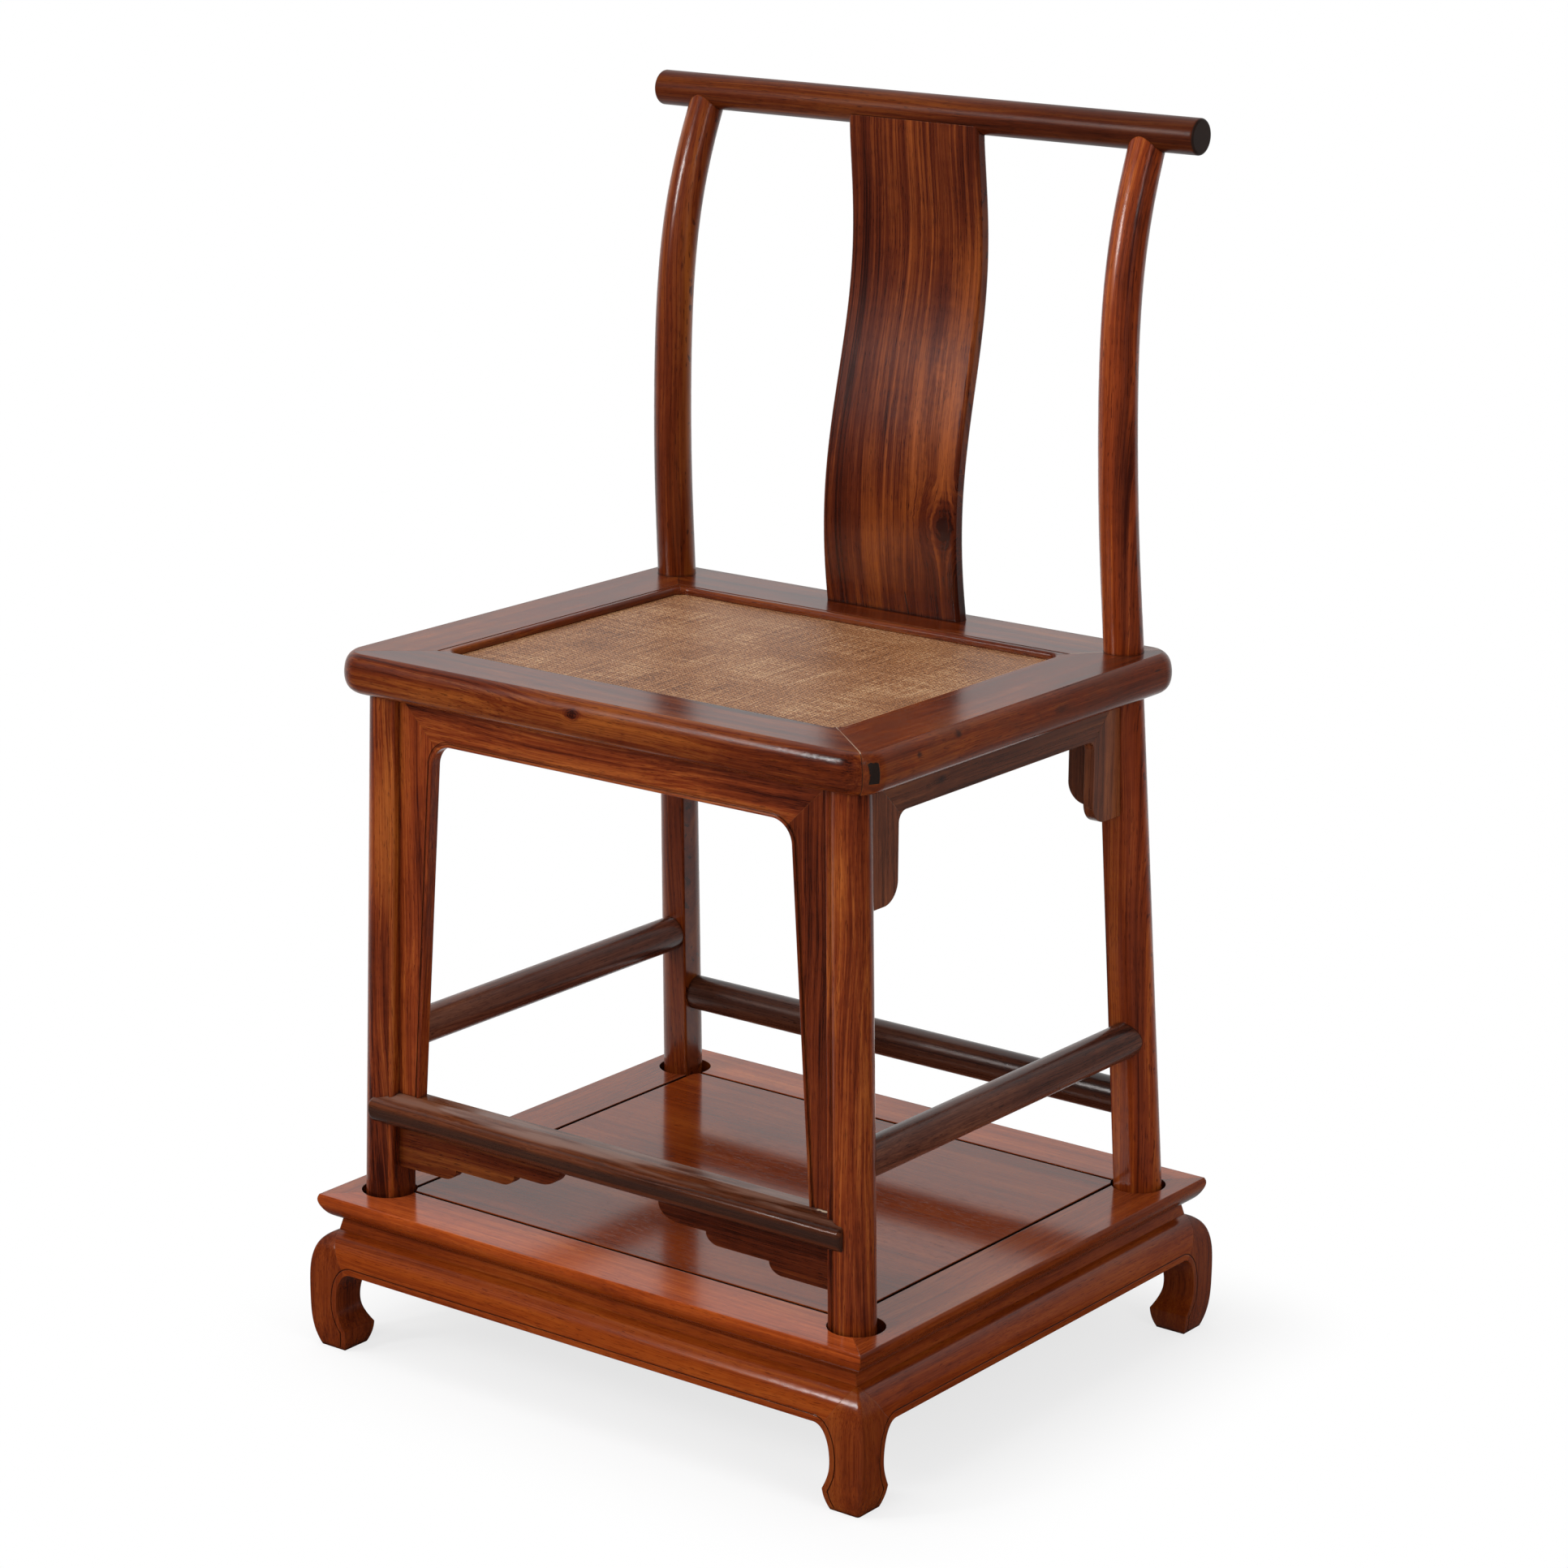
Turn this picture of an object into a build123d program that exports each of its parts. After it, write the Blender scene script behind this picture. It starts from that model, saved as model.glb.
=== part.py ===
from build123d import *
import math
import os

# Armless official's-hat side chair standing in the four sockets of a low hoof-footed stand.
# Millimetres, +Z up. The origin is on the floor under the centre of the stand.
# X runs to the right as one faces the chair, and the chair faces -Y.

# ---------------------------------------------------------------- seat
SEAT_HALF_WIDTH = 278.5         # to the top arris
SEAT_DEPTH = 453.5              # between the top arrises
SEAT_HEIGHT = 515.2             # above the chair's feet
SEAT_THICKNESS = 37.0
SEAT_CORNER_RADIUS = 20.0      # of the top arris
# seat edge: out from the arris, and the share of the thickness below the top
SEAT_MOULDING = (
    (0.0, 0.0), (3.4, 0.06), (6.5, 0.17), (8.3, 0.32), (9.0, 0.5), (8.2, 0.69), (6.2, 0.82), (2.6, 0.92),
    (-9.0, 1.0),
)
SEAT_SIDE_WIDTH = 61.5          # flat width of each rail, from the arris to the beads
SEAT_FRONT_WIDTH = 50.9
SEAT_REAR_WIDTH = 66.6
SEAT_LEDGE = 14.0               # shelf under the mat's edge
SEAT_BEAD_WIDTH = 6.5
SEAT_BEAD_STEP = 0.4            # beads' top below the rails' top
SEAT_BEAD_ROUND = 3.5
OPENING_CORNER_RADIUS = 10.0
MAT_DEPTH = 7.0                 # mat's top below the rails' top
MAT_THICKNESS = 1.6
THROUGH_TENON_WIDTH = 9.0       # end grain showing on the side rails
THROUGH_TENON_HEIGHT = 18.0
THROUGH_TENON_DROP = 7.0        # below the seat's top
THROUGH_TENON_INSET = 3.4       # from the seat's front
THROUGH_TENON_LENGTH = 30.0
BRACE_X = 78.0
BRACE_WIDTH = 24.0
BRACE_THICKNESS = 14.0
BRACE_SAG = 18.0
BRACE_TENON = 9.0
BRACE_DROP = 4.5                # its ends below the mat

# ---------------------------------------------------------------- stand
STAND_SIDE_MARGIN = 21.5        # frame's top arris beyond the seat's
STAND_FRONT_MARGIN = 23.7
STAND_REAR_MARGIN = 50.0
STAND_HEIGHT = 143.4
STAND_FRAME_WIDTH = 54.8
STAND_FRAME_THICKNESS = 23.1
STAND_WAIST_HEIGHT = 11.3
STAND_WAIST_FLARE = 2.6
STAND_APRON_EDGE = 77.0         # height of the aprons' lower edge
STAND_APRON_INSET = 22.0        # inner face of the aprons and waist, in from the frame's top arris
STAND_BULGE = 8.0               # how far the legs swell beyond the frame's top arris
STAND_RIDGE_ROUND = 3.0         # rounding of the legs' outer ridge
PANEL_GAP = 4.2
PANEL_TONGUE = 8.0
PANEL_TONGUE_THICKNESS = 6.0
PANEL_TONGUE_DROP = 1.0         # socket's floor below the tongue
BATTEN_X = 112.0
BATTEN_WIDTH = 32.0
BATTEN_HEIGHT = 20.0
# frame moulding: out from the top arris, and the share of the thickness below it
FRAME_MOULDING = ((0.0, 0.0), (1.5, 0.18), (-0.7, 0.53), (-6.8, 0.86), (-14.8, 1.0))
# aprons and legs: in from the legs' greatest bulge, and the share of the height of the waist's foot
LEG_SWELL = (
    (20.2, 1.0), (12.5, 0.963), (6.8, 0.908), (2.6, 0.817), (0.0, 0.6), (0.0, 0.44), (2.5, 0.138), (7.0, 0.0)
)
# inner edge of a leg, in from its greatest bulge: share of the apron edge's height
HOOF_EDGE = (
    (52.0, 1.0), (41.2, 0.955), (36.2, 0.86), (32.5, 0.65), (33.2, 0.48), (36.6, 0.357), (41.0, 0.253)
)
HOOF_TOE = ((41.0, 0.253), (40.2, 0.16), (36.0, 0.0))
# mitre of leg and apron, in from the greatest bulge: share of the way up from the apron's edge to the waist
LEG_MITRE = ((20.0, 1.0), (34.0, 0.281), (44.0, -0.078))
STAND_BEAD = 5.2                # bead along the lower edge of the aprons and the legs' inner edges
STAND_BEAD_GROOVE = 1.0

# ---------------------------------------------------------------- sockets
SOCKET_RADIUS = 25.0
SOCKET_DEPTH = 17.0
FRONT_SOCKET_SHIFT = (1.0, 3.0)     # from the foot's centre towards the stand's middle
REAR_SOCKET_SHIFT = (3.4, 1.7)

# ---------------------------------------------------------------- legs
LEG_RADIUS = 18.6               # at the foot
LEG_TAPER = 0.925               # section under the seat over section at the foot
LEG_SQUARE_ROUND = 2.0
LEG_BEAD_RADIUS = 3.2
LEG_BEAD_SHIFT = 11.5           # bead's centre in front of the leg's axis
FRONT_LEG_INSET = (29.4, 24.6)      # axis under the seat, in from the seat's side and front
FRONT_LEG_SPLAY = (11.9, 2.2)       # foot further out than the top
REAR_LEG_INSET = (28.9, 28.4)       # from the seat's side and rear
REAR_LEG_SPLAY = (15.3, 29.5)
LEG_TENON = 14.0
LEG_TENON_HEIGHT = 12.0

# ---------------------------------------------------------------- back
CREST_RADIUS = 15.9
CREST_END = 52.4                # length beyond the stiles' axes
CREST_SETBACK = 4.2             # axis behind the seat's rear arris
CREST_RISE = 446.1              # axis above the seat's top
CREST_EDGE_ROUND = 2.5
STILE_RADIUS_LOW = 17.9
STILE_RADIUS_TOP = 16.4
STILE_TOP_INSET = 40.3          # axis at the crest rail, in from the seat's side
# the stile's axis above the seat rail: behind the seat's rear arris, and share of the height
STILE_CURVE = (
    (-35.6, 0.2116), (-40.9, 0.4087), (-40.6, 0.6058), (-28.5, 0.8029), (-10.4, 0.9212), (5.7, 1.0)
)
STILE_TENON_RADIUS = 7.0
STILE_TENON_RISE = 6.0
SPLAT_THICKNESS = 15.0
SPLAT_HALF_WIDTH_LOW = 73.8
SPLAT_HALF_WIDTH_TOP = 69.4
SPLAT_ARRIS = 3.5
SPLAT_HOUSING = 10.0            # depth of its foot in the seat rail
SPLAT_REACH = 7.0               # from its top to the crest rail's axis
# the splat's middle between its foot and its top: behind the seat's rear arris, and share of the height
SPLAT_CURVE = (
    (-21.6, 0.0), (-30.6, 0.15), (-28.6, 0.305), (-13.6, 0.48), (1.8, 0.655), (3.7, 0.83), (-3.3, 1.0)
)

# ---------------------------------------------------------------- aprons under the seat
APRON_THICKNESS = 10.0
FRONT_APRON_SETBACK = 18.3      # front face, in from the seat's front arris
SIDE_APRON_SETBACK = 22.9
REAR_APRON_SETBACK = 19.1
FRONT_HEAD_HEIGHT = 36.6        # seat rail down to the opening
FRONT_OPENING_HEAD = 84.8       # end of the front opening at its head, in from the seat's side arris
FRONT_OPENING_FOOT = 62.5       # and at the footrest
FRONT_OPENING_ROUND = 21.0
FRONT_BEAD = 2.8                # width of the bead along the front opening
FRONT_BEAD_RISE = 1.4
FRONT_BEAD_FULLNESS = 0.85      # share of its rise that is rounded
FRONT_GROOVE = 2.4              # width of the hollow beside the bead
FRONT_GROOVE_DEPTH = 0.8
SIDE_HEAD_HEIGHT = 31.5
SPANDREL_DROP = 76.6            # end of the hung spandrels, below the head's edge
SPANDREL_HEAD_ROUND = 10.0
SPANDREL_END_ROUND = 19.0
SPANDREL_MITRE = 1.0            # run of the mitres for each unit of rise
SPANDREL_HOUSING = 3.0          # depth of the front spandrels' feet in the footrest
SIDE_OPENING_FRONT = 81.9       # side opening, in from the seat's front arris
SIDE_OPENING_REAR = 83.1        # and from its rear arris
REAR_OPENING_END = 84.5         # rear opening, in from the seat's side arris

# ---------------------------------------------------------------- stretchers and footrest
STRETCHER_HALF_HEIGHT = 16.5
STRETCHER_HALF_WIDTH = 15.5
SIDE_STRETCHER_HEIGHT = 159.4   # axis above the feet
REAR_STRETCHER_HEIGHT = 97.6
STRETCHER_TENON_WIDTH = 9.0
STRETCHER_TENON_HEIGHT = 20.0
STRETCHER_TENON_REACH = 6.0     # past the leg's axis
FOOTREST_HEIGHT = 114.6         # top above the feet
FOOTREST_PROUD = 2.1            # beyond the seat's front arris
FOOTREST_DEPTH = 32.0
FOOTREST_THICKNESS = 29.0
FOOTREST_END = 18.0             # in from the seat's side arris
FOOTREST_END_ROUND = 2.5
# footrest's top: back from its front edge, and below its back edge
FOOTREST_CROWN = ((20.0, 0.3), (13.0, 1.8), (5.0, 5.4), (1.0, 8.4), (0.0, 10.4))
# undercut of its front: back from its front edge, and share of its thickness
FOOTREST_UNDERCUT = ((0.0, 0.58), (4.2, 0.85), (13.0, 1.0))
# footrest apron's lower edge: each step's end, in from the footrest's end, the run of its rounded
# end, and its depth below the footrest
FOOTREST_APRON_STEPS = ((86.5, 14.0, 40.5), (154.0, 14.0, 30.0), (205.5, 22.0, 19.5))
FOOTREST_APRON_MIDDLE = 4.5

EMBED = 7.0                     # how far rails run into the legs before the legs are cut out of them
OVERRUN = 20.0                  # overshoot of cutting shapes
WEDGE_DEPTH = 0.45              # reach of the mitres' cutting wedges, as a share of a ring's width
SLIGHT = 0.1                    # less than any real feature

stand_half_width = SEAT_HALF_WIDTH + STAND_SIDE_MARGIN
stand_half_depth = (SEAT_DEPTH + STAND_FRONT_MARGIN + STAND_REAR_MARGIN) / 2
stand_frame_bottom = STAND_HEIGHT - STAND_FRAME_THICKNESS
stand_waist_bottom = stand_frame_bottom - STAND_WAIST_HEIGHT
stand_out_x = stand_half_width + STAND_BULGE
stand_out_y = stand_half_depth + STAND_BULGE
leg_block = LEG_MITRE[-1][0]
socket_floor = STAND_HEIGHT - SOCKET_DEPTH
tongue_bottom = socket_floor + PANEL_TONGUE_DROP
tongue_top = tongue_bottom + PANEL_TONGUE_THICKNESS
seat_top = socket_floor + SEAT_HEIGHT
seat_bottom = seat_top - SEAT_THICKNESS
seat_front_y = -stand_half_depth + STAND_FRONT_MARGIN
seat_rear_y = seat_front_y + SEAT_DEPTH
mat_top = seat_top - MAT_DEPTH
mat_bottom = mat_top - MAT_THICKNESS
front_leg_top = (SEAT_HALF_WIDTH - FRONT_LEG_INSET[0], seat_front_y + FRONT_LEG_INSET[1])
front_leg_foot = (front_leg_top[0] + FRONT_LEG_SPLAY[0], front_leg_top[1] - FRONT_LEG_SPLAY[1])
rear_leg_top = (SEAT_HALF_WIDTH - REAR_LEG_INSET[0], seat_rear_y - REAR_LEG_INSET[1])
rear_leg_foot = (rear_leg_top[0] + REAR_LEG_SPLAY[0], rear_leg_top[1] + REAR_LEG_SPLAY[1])
stile_top_x = SEAT_HALF_WIDTH - STILE_TOP_INSET
crest_y = seat_rear_y + CREST_SETBACK
crest_z = seat_top + CREST_RISE
front_apron_face = seat_front_y + FRONT_APRON_SETBACK
side_apron_face = SEAT_HALF_WIDTH - SIDE_APRON_SETBACK
rear_apron_face = seat_rear_y - REAR_APRON_SETBACK
front_head_edge = seat_bottom - FRONT_HEAD_HEIGHT
side_head_edge = seat_bottom - SIDE_HEAD_HEIGHT
spandrel_end = side_head_edge - SPANDREL_DROP
footrest_top = socket_floor + FOOTREST_HEIGHT
footrest_bottom = footrest_top - FOOTREST_THICKNESS
footrest_half_length = SEAT_HALF_WIDTH - FOOTREST_END


# ---------------------------------------------------------------- shapes
def along_x(face, low, high):
    """Solid of a face drawn as (Y, Z), from X = low to X = high."""
    return extrude(Plane.YZ.offset(low) * face, high - low)


def along_y(face, low, high):
    """Solid of a face drawn as (X, Z), from Y = low to Y = high."""
    return extrude(Plane.XZ.offset(-high) * face, high - low)


def along_z(face, low, high):
    """Solid of a face drawn as (X, Y), from Z = low to Z = high."""
    return extrude(Plane.XY.offset(low) * face, high - low)


def polygon(*points):
    return make_face(Polyline(*points, close=True))


def rectangle(x_low, x_high, y_low, y_high):
    return polygon((x_low, y_low), (x_high, y_low), (x_high, y_high), (x_low, y_high))


def block(x_low, x_high, y_low, y_high, z_low, z_high):
    return along_z(rectangle(x_low, x_high, y_low, y_high), z_low, z_high)


def both_sides(shape):
    return shape + mirror(shape, about=Plane.YZ)


def round_corners(face, radius, *corners):
    """Face with the corners nearest to the given points rounded."""
    chosen = [min(face.vertices(), key=lambda v, c=c: math.hypot(v.X - c[0], v.Y - c[1])) for c in corners]
    return fillet(chosen, radius)


# ---------------------------------------------------------------- stand
def stand_wedge(along, out, depth):
    """Everything that belongs to a front bar of the stand, up to the mitres at its ends."""
    outline = polygon(
        (-along - OVERRUN, -out - OVERRUN),
        (along + OVERRUN, -out - OVERRUN),
        (along - depth, -out + depth),
        (-along + depth, -out + depth),
    )
    return along_z(outline, -OVERRUN, STAND_HEIGHT + OVERRUN)


def stand_member(face, along, out):
    """Moulded bar of the stand's front, mitred at both ends. Its face is drawn as (out from the arris, Z)."""
    start = Plane(origin=(along + OVERRUN, -out, 0), x_dir=(0, -1, 0), z_dir=(-1, 0, 0))
    return extrude(start * face, 2 * (along + OVERRUN)) & stand_wedge(along, out, STAND_FRAME_WIDTH + OVERRUN)


def stand_members(face, cut):
    """The four bars of one mitred ring, by the side they lie on, with the cut taken out."""
    front = stand_member(face, stand_half_width, stand_half_depth)
    right = Rot(0, 0, 90) * stand_member(face, stand_half_depth, stand_half_width)
    bars = {
        "front": front,
        "rear": mirror(front, about=Plane.XZ),
        "left": mirror(right, about=Plane.YZ),
        "right": right,
    }
    return {side: bar - cut for side, bar in bars.items()}


def sockets():
    front = Pos(front_leg_foot[0] - FRONT_SOCKET_SHIFT[0], front_leg_foot[1] + FRONT_SOCKET_SHIFT[1])
    rear = Pos(rear_leg_foot[0] - REAR_SOCKET_SHIFT[0], rear_leg_foot[1] - REAR_SOCKET_SHIFT[1])
    right = Sketch() + [front * Circle(SOCKET_RADIUS), rear * Circle(SOCKET_RADIUS)]
    return both_sides(along_z(right, socket_floor, STAND_HEIGHT + OVERRUN))


def frame_face():
    """Section of the stand's frame: moulded edge outside, groove for the panel's tongue inside."""
    edge = [(out, STAND_HEIGHT - share * STAND_FRAME_THICKNESS) for out, share in FRAME_MOULDING]
    inside = -STAND_FRAME_WIDTH
    groove = inside + PANEL_TONGUE
    back = Polyline(
        edge[-1],
        (inside, stand_frame_bottom),
        (inside, tongue_bottom),
        (groove, tongue_bottom),
        (groove, tongue_top),
        (inside, tongue_top),
        (inside, STAND_HEIGHT),
        edge[0],
    )
    return make_face(Spline(*edge) + back)


def panel():
    half_x = stand_half_width - STAND_FRAME_WIDTH
    half_y = stand_half_depth - STAND_FRAME_WIDTH
    field = Rectangle(2 * (half_x - PANEL_GAP), 2 * (half_y - PANEL_GAP))
    tongue_reach = PANEL_TONGUE - PANEL_GAP / 2
    tongue = Rectangle(2 * (half_x + tongue_reach), 2 * (half_y + tongue_reach))
    board = along_z(field, tongue_bottom, STAND_HEIGHT) + along_z(tongue, tongue_bottom, tongue_top)
    return board - sockets()


def batten():
    half_y = stand_half_depth - STAND_FRAME_WIDTH
    x_low = BATTEN_X - BATTEN_WIDTH / 2
    return block(x_low, x_low + BATTEN_WIDTH, -half_y, half_y, tongue_bottom - BATTEN_HEIGHT, tongue_bottom)


def waist_face():
    top = FRAME_MOULDING[-1][0]
    return polygon(
        (top, stand_frame_bottom),
        (top + STAND_WAIST_FLARE, stand_waist_bottom),
        (-STAND_APRON_INSET, stand_waist_bottom),
        (-STAND_APRON_INSET, stand_frame_bottom),
    )


def swell(half, grow):
    """Outline of the stand below its waist, seen square on, with its curved sides moved out by grow."""
    right = [(half + STAND_BULGE - into + grow, share * stand_waist_bottom) for into, share in LEG_SWELL]
    left = [(-x, z) for x, z in right]
    return make_face(Spline(*right) + Spline(*left) + Line(right[0], left[0]) + Line(right[-1], left[-1]))


def hoof_lines(half, inset):
    """The right leg's inner edge down to the toe, and on to the floor, moved into the wood by inset."""
    lines = []
    for points in (HOOF_EDGE, HOOF_TOE):
        edge = Spline(*[(half + STAND_BULGE - into, share * STAND_APRON_EDGE) for into, share in points])
        stations = [index / (2 * len(points)) for index in range(2 * len(points) + 1)]
        moved = [edge @ t + Vector(-(edge % t).Y, (edge % t).X) * inset for t in stations]
        lines.append(Spline(*moved) if inset else edge)
    return lines


def window(half):
    """The open space between two legs, seen square on."""
    upper, lower = hoof_lines(half, 0)
    right = Curve() + upper + lower
    left = mirror(right, about=Plane.YZ)
    foot = (lower @ 1).X
    sill = Polyline((foot, 0), (foot, -OVERRUN), (-foot, -OVERRUN), (-foot, 0))
    return make_face(right + left + sill + Line(upper @ 0, Vector(-(upper @ 0).X, (upper @ 0).Y)))


def bead_groove(half):
    """Line that sets off the bead along the apron's lower edge and the legs' inner edges, seen square on."""
    near = hoof_lines(half, STAND_BEAD)
    far = hoof_lines(half, STAND_BEAD + STAND_BEAD_GROOVE)
    strips = [make_face(a + b + Line(a @ 0, b @ 0) + Line(a @ 1, b @ 1)) for a, b in zip(near, far)]
    x_end = (near[0] @ 0).X
    low = STAND_APRON_EDGE + STAND_BEAD
    middle = rectangle(-x_end, x_end, low, low + STAND_BEAD_GROOVE)
    side = Sketch() + strips
    return side + mirror(side, about=Plane.YZ) + middle


def stand_base():
    """Aprons and legs, cut from one block so that they meet along their mitres."""
    far_x = stand_out_x + OVERRUN
    far_y = stand_out_y + OVERRUN
    front_swell = swell(stand_half_width, 0)
    side_swell = swell(stand_half_depth, 0)
    body = along_y(front_swell, -far_y, far_y) & along_x(side_swell, -far_x, far_x)
    ridges = [edge for edge in body.edges() if edge.bounding_box().size.Z > stand_waist_bottom / 2]
    body = fillet(ridges, STAND_RIDGE_ROUND)

    front_skin = along_x(swell(stand_half_depth, -STAND_BEAD_GROOVE), -far_x, far_x)
    side_skin = along_y(swell(stand_half_width, -STAND_BEAD_GROOVE), -far_y, far_y)
    front_cuts = [
        along_y(window(stand_half_width), -far_y, far_y),
        along_y(bead_groove(stand_half_width), -far_y, far_y) - front_skin,
    ]
    side_cuts = [
        along_x(window(stand_half_depth), -far_x, far_x),
        along_x(bead_groove(stand_half_depth), -far_x, far_x) - side_skin,
    ]
    rise = stand_waist_bottom - STAND_APRON_EDGE
    line = [(into, STAND_APRON_EDGE + share * rise) for into, share in LEG_MITRE]
    line += [(leg_block, -OVERRUN), (-OVERRUN, -OVERRUN), (-OVERRUN, STAND_HEIGHT)]
    line.append((line[0][0], STAND_HEIGHT))
    end_x = along_y(polygon(*[(stand_out_x - into, z) for into, z in line]), -far_y, far_y)
    end_y = along_x(polygon(*[(stand_out_y - into, z) for into, z in line]), -far_x, far_x)
    front = body & stand_wedge(stand_half_width, stand_half_depth, STAND_APRON_INSET)
    front = front - both_sides(end_x) - front_cuts
    right = body & Rot(0, 0, 90) * stand_wedge(stand_half_depth, stand_half_width, STAND_APRON_INSET)
    right = right - end_y - mirror(end_y, about=Plane.XZ) - side_cuts

    inner_x = stand_out_x - leg_block
    inner_y = stand_out_y - leg_block
    corner = block(inner_x, far_x, -far_y, -inner_y, -OVERRUN, STAND_HEIGHT)
    post = block(
        inner_x,
        stand_half_width - STAND_APRON_INSET,
        -stand_half_depth + STAND_APRON_INSET,
        -inner_y,
        stand_waist_bottom,
        stand_frame_bottom,
    )
    leg = (body & corner) - front_cuts - side_cuts - front - right + post
    return front, right, leg


# ---------------------------------------------------------------- chair legs
def leg_section(scale, beaded):
    """Right leg's section about its centre: round outside, square towards the chair's middle.

    It is drawn for a front leg, whose inner corner points to -X and +Y. The bead stands at its inner front.
    """
    r = LEG_RADIUS * scale
    c = LEG_SQUARE_ROUND * scale
    flats = Line((0, r), (c - r, r)) + CenterArc((c - r, r - c), c, 90, 90)
    if not beaded:
        return make_face(flats + Line((-r, r - c), (-r, 0)) + CenterArc((0, 0), r, 180, 270))
    bead = LEG_BEAD_RADIUS * scale
    shift = LEG_BEAD_SHIFT * scale
    apart = math.hypot(r - bead, shift)
    to_bead = 180 + math.degrees(math.atan2(shift, r - bead))
    at_leg = math.degrees(math.acos((r ** 2 + apart ** 2 - bead ** 2) / (2 * r * apart)))
    at_bead = math.degrees(math.acos((bead ** 2 + apart ** 2 - r ** 2) / (2 * bead * apart)))
    outline = flats + Line((-r, r - c), (-r, -shift))
    outline += CenterArc((bead - r, -shift), bead, 180, to_bead - at_bead)
    outline += CenterArc((0, 0), r, to_bead + at_leg, 360 + 90 - to_bead - at_leg)
    return make_face(outline)


def leg_at(foot, top, z):
    """X, Y and radius of a leg at height z."""
    share = (z - socket_floor) / (seat_bottom - socket_floor)
    x, y = (a + (b - a) * share for a, b in zip(foot, top))
    return x, y, LEG_RADIUS * (1 + (LEG_TAPER - 1) * share)


def front_leg_at(z):
    return leg_at(front_leg_foot, front_leg_top, z)


def rear_leg_at(z):
    return leg_at(rear_leg_foot, rear_leg_top, z)


def front_leg_blank():
    foot = Pos(*front_leg_foot, socket_floor) * leg_section(1, True)
    top = Pos(*front_leg_top, seat_bottom) * leg_section(LEG_TAPER, True)
    x, y = front_leg_top
    half = LEG_TENON / 2
    tenon = block(x - half, x + half, y - half, y + half, seat_bottom, seat_bottom + LEG_TENON_HEIGHT)
    return loft([foot, top], ruled=True) + tenon


def rear_leg_blank():
    """Rear leg and stile in one piece, up to the crest rail's axis, with its tenon above."""
    foot = Pos(*rear_leg_foot, socket_floor) * mirror(leg_section(1, False), about=Plane.XZ)
    top = Pos(*rear_leg_top, seat_bottom) * mirror(leg_section(LEG_TAPER, False), about=Plane.XZ)
    rise = crest_z - seat_bottom
    rings = []
    for behind, share in ((-REAR_LEG_INSET[1], 0.0), *STILE_CURVE):
        x = rear_leg_top[0] + (stile_top_x - rear_leg_top[0]) * share
        radius = STILE_RADIUS_LOW + (STILE_RADIUS_TOP - STILE_RADIUS_LOW) * share
        rings.append(Pos(x, seat_rear_y + behind, seat_bottom + rise * share) * Circle(radius))
    return loft([foot, top], ruled=True) + loft(rings)


def stile_tenon():
    return Pos(stile_top_x, crest_y, crest_z - CREST_RADIUS) * Cylinder(
        STILE_TENON_RADIUS, CREST_RADIUS + STILE_TENON_RISE, align=(Align.CENTER, Align.CENTER, Align.MIN)
    )


# ---------------------------------------------------------------- back
def crest_blank():
    end = stile_top_x + CREST_END
    rod = along_x(Pos(crest_y, crest_z) * Circle(CREST_RADIUS), -end, end)
    return fillet(rod.edges().filter_by(GeomType.CIRCLE), CREST_EDGE_ROUND)


def splat_blank():
    foot = seat_top - SPLAT_HOUSING
    rise = crest_z - SPLAT_REACH - foot
    sections = []
    for behind, share in SPLAT_CURVE:
        half = SPLAT_HALF_WIDTH_LOW + (SPLAT_HALF_WIDTH_TOP - SPLAT_HALF_WIDTH_LOW) * share
        section = RectangleRounded(2 * half, SPLAT_THICKNESS, SPLAT_ARRIS)
        sections.append(Pos(0, seat_rear_y + behind, foot + rise * share) * section)
    return loft(sections)


# ---------------------------------------------------------------- seat
def seat_slab():
    """The seat's moulded outer shape, as one slab with rounded corners."""
    r = SEAT_CORNER_RADIUS
    edge = [(out, seat_top - share * SEAT_THICKNESS) for out, share in SEAT_MOULDING]
    back = Polyline(edge[-1], (-r, seat_bottom), (-r, seat_top), edge[0])
    section = make_face(Spline(*edge) + back)
    half_depth = SEAT_DEPTH / 2
    inner = SEAT_HALF_WIDTH - r
    slab = block(-inner, inner, r - half_depth, half_depth - r, seat_bottom, seat_top)
    for turn in range(4):
        along, out = (half_depth, SEAT_HALF_WIDTH) if turn % 2 else (SEAT_HALF_WIDTH, half_depth)
        end = Plane(origin=(along - r, -out, 0), x_dir=(0, -1, 0), z_dir=(-1, 0, 0)) * section
        corner = revolve(end, Axis((along - r, r - out, 0), (0, 0, 1)), 90)
        slab += Rot(0, 0, 90 * turn) * (extrude(end, 2 * (along - r)) + corner)
    return Pos(0, (seat_front_y + seat_rear_y) / 2, 0) * slab


def seat_opening(inset):
    """Low and high X and Y of the opening between the seat rails, made smaller by inset."""
    half = SEAT_HALF_WIDTH - SEAT_SIDE_WIDTH - inset
    return -half, half, seat_front_y + SEAT_FRONT_WIDTH + inset, seat_rear_y - SEAT_REAR_WIDTH - inset


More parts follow.
